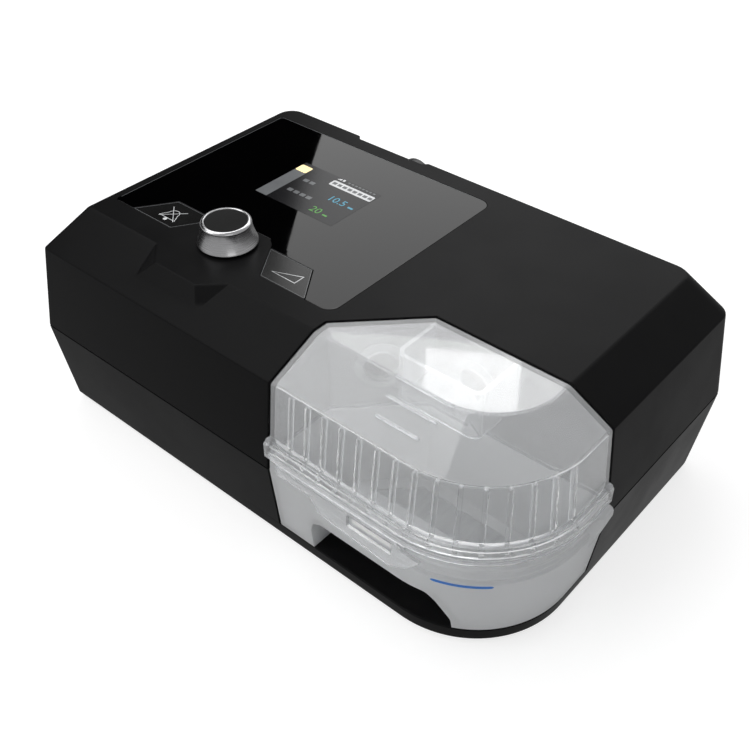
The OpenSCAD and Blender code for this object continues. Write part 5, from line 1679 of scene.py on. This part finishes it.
def tub_ring(t, z_floor):
    """Ring of the tub's wall with columns along the recess's edge, and the height at which each
    column starts: the floor's or the edge's."""
    right_foot = (RECESS_X + RECESS_W + t + 0.3, z_floor)
    path = np.array([(RECESS_X - t, z_floor)] + recess_path(t) + [right_foot])
    x, low = soft_line(path, [0, 1.2, 1.5, 2, 2, 2, 2, 0], 5).T
    start, end = BAY_LEFT + BAY_GAP + t, NOSE_CENTRE[0]
    in_front = x <= end
    ceiling = low.max()
    between = np.linspace(x[in_front][-1] + 1, end - 0.5, 4)
    front_x = np.concatenate([[start + 7], x[in_front], between])
    front_low = np.concatenate([[z_floor], low[in_front], np.full(4, ceiling)])
    r = NOSE_R - wall_inset(low) - t
    angle = np.arcsin(np.clip((x - end) / r, 0, 1))[~in_front]
    lead = np.linspace(0, angle[0], 5)[:-1]
    rest = np.linspace(angle[-1], np.pi / 2, 26)[1:]
    arc = np.concatenate([lead, angle, rest]) / (np.pi / 2)
    arc_low = np.concatenate([np.full(4, ceiling), low[~in_front], np.full(25, z_floor)])
    ring = Ring(
        [even(3), arc, even(3), even(3), even(3)],
        [(front_x - start) / (end - start), inner(3), inner(2), inner(2), inner(2)],
    )
    low_z = np.full(ring.count, float(z_floor))
    low_z[ring.last[0] + 1 : ring.first[1]] = front_low
    low_z[ring.first[1] : ring.last[1] + 1] = arc_low
    return ring, low_z


def tub_wall(ring, t, z_floor, z):
    """Plan points of the tub's wall at heights z (rows, columns): straight between its rings at
    the floor, the seam and the rim."""
    levels = np.array([z_floor, SEAM, TUB_RIM])
    inset = wall_inset(levels) + t
    plans = ring.points(chamber_corners(inset, inset, t), chamber_radii(NOSE_R - inset, 0.8))
    spans = []
    for k in (0, 1):
        share = (z - levels[k]) / (levels[k + 1] - levels[k])
        spans.append(plans[k] + (plans[k + 1] - plans[k]) * share[..., None])
    return np.where((z <= SEAM)[..., None], *spans)


def tub_side(skin, t, z_floor, flip):
    """One face of the tub, drawn in by t: its wall with the soft steps outside, the finger
    recess, and the floor round the plate's window. Returns the rim's and the window's loop."""
    ring, low_z = tub_ring(t, z_floor)
    steps = step_heights()
    share = np.array([0, 0.02, 0.06, 0.15, 0.3, 0.45, 0.6])[:, None]
    z = np.concatenate([low_z + share * (steps[0] - low_z), np.repeat(steps[:, None], ring.count, 1)])
    plan = tub_wall(ring, t, z_floor, z)
    if t == 0:
        plan = plan + inward_normals(plan) * (step_depth(z) * step_weight(plan))[..., None]
    grid = skin.add(at_height(plan, z))
    skin.sheet(grid, flip=flip)

    # recess: its tunnel, back wall, and the floor round it
    edge = np.flatnonzero(low_z > z_floor + 1e-6)
    edge = np.arange(edge[0] - 1, edge[-1] + 2)
    back = skin.add(points_at(plan[0, edge, 0], RECESS_BACK + t, z[0, edge]))
    skin.band(grid[0, edge], back, closed=False, flip=not flip)
    skin.fill([back], X if flip else -X, -Z)
    floor_loop = np.concatenate([grid[0, : edge[0] + 1], back[[0, -1]], grid[0, edge[-1] :]])
    hole = skin.add(at_height(cornered_plan(*plate_box(3), 9, 1.0), z_floor))
    skin.fill([floor_loop, hole], X, Y if flip else -Y)
    return grid[-1], hole


def step_heights():
    """Heights of the rows that carry the tub's three soft steps under the lid's flange."""
    last = TUB_RIM - np.array([0.65, 0.2, 0.05, 0])
    return np.concatenate([np.linspace(SEAM - 5.2, RIM - 1.6, 31), last])


def step_depth(z):
    """How far the wall stands back at height z for the steps: three ledges, each a
    quick step inwards and a slow lean out again, over the height from below the seam to the rim."""
    low = SEAM - 4.4
    pitch = (RIM - 1.6 - low) / 3
    phase = (z - low) / pitch
    part = phase - np.floor(phase)
    ramp = smooth(part / 0.25) * (1 - smooth((part - 0.25) / 0.75))
    return np.where((phase > 0) & (phase < 3), 1.2 * ramp, 0) + crown(TUB_RIM - z, 0.35)


def step_weight(plan):
    """The steps run round the large corner and fade out along the front and at the right end."""
    x, y = plan[..., 0], plan[..., 1]
    fade_in = smooth((x - (NOSE_CENTRE[0] - 4)) / 16)
    fade_out = 1 - smooth((y - (BAY_BACK - 22)) / 10)
    return fade_in * fade_out


def plate_box(margin):
    """Box of the chamber plate drawn in by a margin."""
    return (*(PLATE_LOW[:2] + margin), *(PLATE_HIGH[:2] - margin))


def build_tub():
    """The tub's frosted shell and its ear."""
    skin = Skin()
    out_rim, out_hole = tub_side(skin, 0.0, TUB_FLOOR, False)
    in_rim, in_hole = tub_side(skin, LID_T, TUB_FLOOR + LID_T, True)
    skin.fill([out_rim, in_rim], X, Y)
    skin.band(in_hole, out_hole)
    add_ear(skin)
    skin.make("tub_shell", "chamber", "frosted_clear", ["chamber_tub"], sharp=30)


def add_ear(skin):
    """The tub's small finger ear at the right side: rings of an outline that grows upwards."""
    y1 = BAY_BACK - BAY_GAP - 0.6
    z1 = RIM - 0.25 - 0.6
    x1 = TUB_HIGH[0]
    z = np.array([z1 - 24, z1 - 14, z1 - 4, z1 - 1.5, z1 - 0.5, z1])
    reach = np.array([RIGHT - 1.8, (RIGHT - 1.8 + x1) / 2, x1, x1, x1 - 0.4, x1 - 1.4])
    rows = []
    for height, far in zip(z, reach):
        base = RIGHT - wall_inset(height) - 0.9
        out = max(far, base + 0.2)
        slope = 9 * (out - base) / 5.3
        rows.append([(base, y1 - 9 - slope), (out, y1 - 9), (out, y1 - 1.2), (base, y1 - 1.2)])
    corners = np.array(rows)
    room = np.clip(0.4 * (corners[:, 1, 0] - corners[:, 0, 0]), 0.02, 1.2)[:, None]
    radii = room * [0.02, 1, 0.8, 0.02]
    grid = skin.add(at_height(simple_ring(4, 4, 2).points(corners, radii), z[:, None]))
    skin.sheet(grid)
    skin.fill([grid[-1]], X, Y)
    skin.fill([grid[0]], X, -Y)


def build_level_line():
    """Blue fill line printed round the tub's corner: a ribbon along the wall's circle."""
    height, width, count = SEAM - 5.8, 1.6, 33
    k = np.arange(count)
    from_end = np.clip(np.minimum(k, count - 1 - k) / 2, 0, 1)
    half = width / 2 * np.maximum(np.sqrt(1 - (1 - from_end) ** 2), 0.15)
    a = np.linspace(math.radians(17), math.radians(44.6), count)
    skin = Skin()
    loops = []
    for side, proud in ((-1, 0.02), (-1, 0.1), (1, 0.1), (1, 0.02)):
        z = height + side * half
        r = NOSE_R - wall_inset(z) + proud
        x, y = NOSE_CENTRE[0] + r * np.sin(a), NOSE_CENTRE[1] - r * np.cos(a)
        loops.append(skin.add(points_at(x, y, z)))
    grid = np.stack(loops)
    for low, high in zip(grid, np.roll(grid, -1, 0)):
        skin.band(low, high, closed=False)
    skin.faces.append(grid[::-1, 0][None])
    skin.faces.append(grid[:, -1][None])
    skin.make("level_line", "chamber", "level_blue", sharp=30)


BARREL_R = 1.3
FLAP_T = 1.7


def upright_rings(skin, corners, radii, steps, y, inward):
    """Adds rings of an outline in x and z, at places y along the depth and each drawn in."""
    plan = plate_plans(simple_ring(len(corners), steps), corners, radii, inward)
    return skin.add(points_at(plan[..., 0], y[:, None], plan[..., 1]))


def add_barrel(skin, x0, x1, y, z):
    """The round barrel the flap hangs on, a tube with soft ends."""
    a = np.linspace(0, 2 * np.pi, 24, endpoint=False)
    x = np.array([x0, x0, x0 + 0.2, x1 - 0.2, x1, x1])[:, None]
    r = np.array([0.75, 1.1, BARREL_R, BARREL_R, 1.1, 0.75])[:, None]
    barrel = skin.add(points_at(x, y + r * np.cos(a), z + r * np.sin(a)))
    skin.sheet(barrel)
    skin.band(barrel[-1], barrel[0])


def build_latch():
    """Clear flap with its window, hung on a round barrel."""
    x0, x1 = FLAP_LOW[0], FLAP_HIGH[0] - 12
    top = FLAP_HIGH[2] - BARREL_R
    # outline seen from the front, x to the right and z up
    foot = [(x0, top - 5.5), (x0 + 20, top - 5.5), (x0 + 25, top - 13), (x1 - 4, top - 16)]
    tongue = [(x1 + 4, top - 12), (x1 + 12, top - 2.4), (x1, top - 2.4)]
    outline = np.array(foot + tongue + [(x1, top - 0.2), (x0, top - 0.2)])
    radii = np.array([0.8, 3, 3, 3, 3, 0.6, 0.6, 0.2, 0.2])
    left, lintel = CATCH_LOW[0] - 1, top - BARREL_R - 0.5
    window = np.array(rect(left, lintel - 6.8, left + 24, lintel))
    y, inward = plate_rows(FLAP_LOW[1], FLAP_LOW[1] + FLAP_T, 0.3)
    y = y[::-1]
    skin = Skin()
    grid = upright_rings(skin, outline, radii, 5, y, inward)
    hole = upright_rings(skin, window, 0.6, 4, y, -inward)
    skin.sheet(grid)
    skin.sheet(hole, flip=True)
    skin.fill([grid[-1], hole[-1]], X, Z)
    skin.fill([grid[0], hole[0]], -X, Z)
    add_barrel(skin, x0, x1, FLAP_LOW[1] + BARREL_R, top)
    skin.make("latch_plate", "latch", "clear_plastic", ["latch_flap"], sharp=30)


def build_catch():
    """The white catch behind the flap's window."""
    corners = np.array(rect(CATCH_LOW[0], CATCH_LOW[2], CATCH_HIGH[0], CATCH_HIGH[2]))
    y = np.array([CATCH_HIGH[1], CATCH_LOW[1] + 0.45, CATCH_LOW[1] + 0.15, CATCH_LOW[1]])
    skin = Skin()
    grid = upright_rings(skin, corners, 0.9, 4, y, np.array([0, 0, 0.12, 0.45]))
    skin.sheet(grid)
    skin.fill([grid[-1]], X, Z)
    skin.fill([grid[0]], -X, Z)
    skin.make("catch_bar", "chamber", "white_plastic", ["latch_catch"], sharp=30)


# ---- operators ----


class MACHINE_OT_carried_parts(bpy.types.Operator):
    """Give every CAD node that stays its finish"""

    bl_idname = "machine.carried_parts"
    bl_label = "Finish the carried-over parts"

    def execute(self, context):
        for obj in frame["nodes"].values():
            for place in obj.material_slots:
                base = place.material.name.split(".")[0] if place.material else ""
                if base in SLOTS:
                    place.material = material(base)
        return {"FINISHED"}


class MACHINE_OT_case(bpy.types.Operator):
    """Build the upper and lower shell of the case"""

    bl_idname = "machine.case"
    bl_label = "Case"

    def execute(self, context):
        build_base_shell()
        build_top_shell()
        return {"FINISHED"}


class MACHINE_OT_panel(bpy.types.Operator):
    """Build the glass, its two push buttons, their marks, the painted highlights along their edges and the
    screen's picture
    """

    bl_idname = "machine.panel"
    bl_label = "Glass panel, buttons and screen"

    def execute(self, context):
        build_glass_panel()
        build_button(-1, "mute_key", "mute_button")
        build_button(1, "ramp_key", "ramp_button")
        width = context.scene.machine_sizes.mark_width / MM
        build_mute_mark(0.7 * width)
        build_ramp_mark(width)
        build_painted_edge_highlights()
        build_screen()
        return {"FINISHED"}


class MACHINE_OT_dial(bpy.types.Operator):
    """Turn the dial and its cap"""

    bl_idname = "machine.dial"
    bl_label = "Dial"

    def execute(self, context):
        build_dial()
        build_dial_cap()
        return {"FINISHED"}


class MACHINE_OT_lid(bpy.types.Operator):
    """Build the clear lid, its grips and its curtain"""

    bl_idname = "machine.lid"
    bl_label = "Chamber lid"

    def execute(self, context):
        build_lid()
        build_lid_grips()
        build_baffle()
        return {"FINISHED"}


class MACHINE_OT_tub(bpy.types.Operator):
    """Build the frosted water tub and its level line"""

    bl_idname = "machine.tub"
    bl_label = "Water tub"

    def execute(self, context):
        build_tub()
        build_level_line()
        return {"FINISHED"}


class MACHINE_OT_latch(bpy.types.Operator):
    """Build the latch flap and the catch behind its window"""

    bl_idname = "machine.latch"
    bl_label = "Latch"

    def execute(self, context):
        build_latch()
        build_catch()
        return {"FINISHED"}


class MACHINE_OT_stage(bpy.types.Operator):
    """Set up the floor, the soft studio light and the camera"""

    bl_idname = "machine.stage"
    bl_label = "Studio"

    def execute(self, context):
        context.scene.view_settings.view_transform = "Standard"
        build_floor()
        build_world()
        build_flag()
        build_lights()
        build_camera()
        return {"FINISHED"}


# ---- studio ----

CAMERA_PLACE = (0.25726, -0.3095, 0.3750)
CAMERA_AZIMUTH = 40.52
CAMERA_ELEVATION = 40.42
CAMERA_ROLL = 0.10
CAMERA_LENS = 49.03
SENSOR = 36.0


def build_camera():
    """The camera looks back along its own axis: right, up and back vectors from its azimuth and
    elevation, then a slight roll."""
    az, el, roll = (math.radians(v) for v in (CAMERA_AZIMUTH, CAMERA_ELEVATION, CAMERA_ROLL))
    back = Vector((math.sin(az) * math.cos(el), -math.cos(az) * math.cos(el), math.sin(el)))
    right = Vector((math.cos(az), math.sin(az), 0))
    up = back.cross(right)
    r = right * math.cos(roll) + up * math.sin(roll)
    u = up * math.cos(roll) - right * math.sin(roll)
    turn = Matrix((r, u, back)).transposed().to_4x4()
    data = bpy.data.cameras.new("camera")
    data.lens = CAMERA_LENS
    data.sensor_width = SENSOR
    data.clip_start = 0.01
    data.clip_end = 20
    camera = bpy.data.objects.new("camera", data)
    camera.matrix_world = Matrix.Translation(CAMERA_PLACE) @ turn
    bpy.context.scene.collection.objects.link(camera)
    bpy.context.scene.camera = camera


MIRRORED_SHARE = 0.45


def background_rays(tree, mirrored):
    """Light Path masks of a background that mirrors and clear plastic show too: 1 on every
    camera, transmission or glossy ray; its strength, 1, or the share mirrored on a glossy ray;
    and 1 on a camera ray."""
    path = tree.nodes.new("ShaderNodeLightPath")
    dimmed = tree.nodes.new("ShaderNodeMath")
    dimmed.operation = "MULTIPLY"
    tree.links.new(path.outputs["Is Glossy Ray"], dimmed.inputs[0])
    dimmed.inputs[1].default_value = mirrored
    masks = []
    for glossy in (path.outputs["Is Glossy Ray"], dimmed.outputs[0]):
        value = path.outputs["Is Camera Ray"]
        for other in (path.outputs["Is Transmission Ray"], glossy):
            most = tree.nodes.new("ShaderNodeMath")
            most.operation = "MAXIMUM"
            tree.links.new(value, most.inputs[0])
            tree.links.new(other, most.inputs[1])
            value = most.outputs[0]
        masks.append(value)
    return masks[0], masks[1], path.outputs["Is Camera Ray"]


def polar(azimuth, elevation, radius, centre):
    """Points at an azimuth from +Y towards -X and an elevation, both in degrees."""
    a, e = np.radians(azimuth), np.radians(elevation)
    way = np.stack([-np.sin(a) * np.cos(e), np.cos(a) * np.cos(e), np.sin(e)], -1)
    return np.asarray(centre) + radius * way


def stage_grid(name, points, made):
    """A stage mesh from a grid of points in metres."""
    rows, columns = points.shape[:2]
    grid = np.arange(rows * columns).reshape(rows, columns)
    quads = np.stack([grid[:-1, :-1], grid[:-1, 1:], grid[1:, 1:], grid[1:, :-1]], -1).reshape(-1, 4)
    mesh = bpy.data.meshes.new(name)
    mesh.from_pydata(points.reshape(-1, 3), [], quads.tolist())
    mesh.materials.append(made)
    obj = bpy.data.objects.new(name, mesh)
    bpy.context.scene.collection.objects.link(obj)
    return obj


def build_floor():
    """A wide pale floor, flat rings of radius and angle. To the camera it adds to its lit colour
    what makes it white in full light, so it keeps the machine's shadow."""
    made = bpy.data.materials.new("floor_white")
    made.use_nodes = True
    tree = made.node_tree
    shader = tree.nodes["Principled BSDF"]
    shader.inputs["Base Color"].default_value = (0.88, 0.88, 0.88, 1)
    shader.inputs["Roughness"].default_value = 0.9
    shader.inputs["Specular IOR Level"].default_value = 0.0
    seen = tree.nodes.new("ShaderNodeBsdfDiffuse")
    seen.inputs["Color"].default_value = (0.42, 0.42, 0.42, 1)
    lift = tree.nodes.new("ShaderNodeEmission")
    lift.inputs["Strength"].default_value = 0.74
    both = tree.nodes.new("ShaderNodeAddShader")
    tree.links.new(seen.outputs[0], both.inputs[0])
    tree.links.new(lift.outputs[0], both.inputs[1])
    white = tree.nodes.new("ShaderNodeEmission")
    any_ray, strength, camera_ray = background_rays(tree, MIRRORED_SHARE)
    tree.links.new(strength, white.inputs["Strength"])
    back = tree.nodes.new("ShaderNodeMixShader")
    front = tree.nodes.new("ShaderNodeMixShader")
    tree.links.new(any_ray, back.inputs["Fac"])
    tree.links.new(shader.outputs[0], back.inputs[1])
    tree.links.new(white.outputs[0], back.inputs[2])
    tree.links.new(camera_ray, front.inputs["Fac"])
    tree.links.new(back.outputs[0], front.inputs[1])
    tree.links.new(both.outputs[0], front.inputs[2])
    tree.links.new(front.outputs[0], tree.nodes["Material Output"].inputs["Surface"])
    a = np.linspace(0, 2 * np.pi, 65)
    r = np.array([0.02, 0.5, 1.5, 4.0])[::-1, None]
    stage_grid("floor", np.stack([r * np.cos(a), r * np.sin(a), np.zeros((4, 65))], -1), made)


def build_world():
    """Soft light from all round, and plain white behind the machine."""
    world = bpy.data.worlds.new("studio")
    world.use_nodes = True
    bpy.context.scene.world = world
    tree = world.node_tree
    dim = tree.nodes["Background"]
    dim.inputs["Color"].default_value = (1, 1, 1, 1)
    dim.inputs["Strength"].default_value = 0.32
    white = tree.nodes.new("ShaderNodeBackground")
    white.inputs["Color"].default_value = (1, 1, 1, 1)
    mix = tree.nodes.new("ShaderNodeMixShader")
    any_ray, strength, _ = background_rays(tree, MIRRORED_SHARE)
    tree.links.new(any_ray, mix.inputs["Fac"])
    tree.links.new(strength, white.inputs["Strength"])
    tree.links.new(dim.outputs[0], mix.inputs[1])
    tree.links.new(white.outputs[0], mix.inputs[2])
    tree.links.new(mix.outputs[0], tree.nodes["World Output"].inputs["Surface"])


def build_flag():
    """A black card that only mirrors see. Its edge leans along the line where the glass goes
    from black to grey, and it reaches round the left side of the studio."""
    made = bpy.data.materials.new("flag_black")
    made.use_nodes = True
    shader = made.node_tree.nodes["Principled BSDF"]
    shader.inputs["Base Color"].default_value = (0, 0, 0, 1)
    shader.inputs["Specular IOR Level"].default_value = 0
    elevation = np.linspace(4, 52, 13)[:, None]
    edge = 44.1 + (elevation - 27) * 4 / 9.4
    azimuth = edge + np.linspace(0, 1, 17) * (116 - edge)
    flag = stage_grid("flag", polar(azimuth, elevation + 0 * azimuth, 1.9, (-0.06, 0.02, 0.108)), made)
    flag.visible_camera = flag.visible_diffuse = flag.visible_shadow = flag.visible_transmission = False


def add_lamp(name, place, target, size, power):
    """A softbox of a size in metres and a power in watts that faces its target."""
    data = bpy.data.lights.new(name, "AREA")
    data.shape = "RECTANGLE"
    data.size, data.size_y = size
    data.energy = power
    lamp = bpy.data.objects.new(name, data)
    place, target = Vector(place), Vector(target)
    aim = (place - target).to_track_quat("Z", "Y")
    lamp.matrix_world = Matrix.Translation(place) @ aim.to_matrix().to_4x4()
    bpy.context.scene.collection.objects.link(lamp)
    return lamp


def build_lights():
    """Softboxes: one behind that the top mirrors, one overhead, two in front, and a small one
    for the bright window on the lid."""
    target = (0, 0, 0.08)
    add_lamp("window_back", polar(19, 41, 2.2, target), target, (2.1, 1.6), 16)
    add_lamp("overhead", (-0.8, -0.15, 1.6), target, (1.9, 1.3), 16)
    add_lamp("front_left", (-1.1, -1.6, 1.2), target, (1.2, 1.2), 8)
    add_lamp("front_right", (1.5, -1.0, 0.9), target, (1.0, 1.0), 2.5)
    lid = (0.083, -0.05, TOP * MM)
    add_lamp("lid_glow", polar(33.5, 41.3, 2.0, lid), lid, (0.68, 0.24), 1.0)
    add_lamp("lid_window", polar(33.3, 40.6, 1.95, lid), lid, (0.22, 0.14), 0.35)


CLASSES = [
    MachineLooks,
    MachineSizes,
    MACHINE_OT_carried_parts,
    MACHINE_OT_case,
    MACHINE_OT_panel,
    MACHINE_OT_dial,
    MACHINE_OT_lid,
    MACHINE_OT_tub,
    MACHINE_OT_latch,
    MACHINE_OT_stage,
]
OPERATORS = ["carried_parts", "case", "panel", "dial", "lid", "tub", "latch", "stage"]


class MACHINE_PT_sidebar(bpy.types.Panel):
    """Lists the machine's settings and the pieces it builds"""

    bl_idname = "MACHINE_PT_sidebar"
    bl_label = "Therapy machine"
    bl_space_type = "VIEW_3D"
    bl_region_type = "UI"
    bl_category = "Therapy machine"

    def draw(self, context):
        layout = self.layout
        for group_of in (context.scene.machine_sizes, context.scene.machine_looks):
            for key in group_of.bl_rna.properties.keys():
                if key not in ("rna_type", "name"):
                    layout.prop(group_of, key)
        for name in OPERATORS:
            layout.operator("machine." + name)


def register():
    """Adds the machine's settings, operators and sidebar to Blender."""
    for cls in CLASSES + [MACHINE_PT_sidebar]:
        bpy.utils.register_class(cls)
    bpy.types.Scene.machine_looks = bpy.props.PointerProperty(type=MachineLooks)
    bpy.types.Scene.machine_sizes = bpy.props.PointerProperty(type=MachineSizes)


def unregister():
    """Takes out what register adds."""
    del bpy.types.Scene.machine_sizes
    del bpy.types.Scene.machine_looks
    for cls in reversed(CLASSES + [MACHINE_PT_sidebar]):
        bpy.utils.unregister_class(cls)


def main():
    """Builds the scene."""
    register()
    for name in OPERATORS:
        getattr(bpy.ops.machine, name)()


if __name__ == "__main__":
    main()
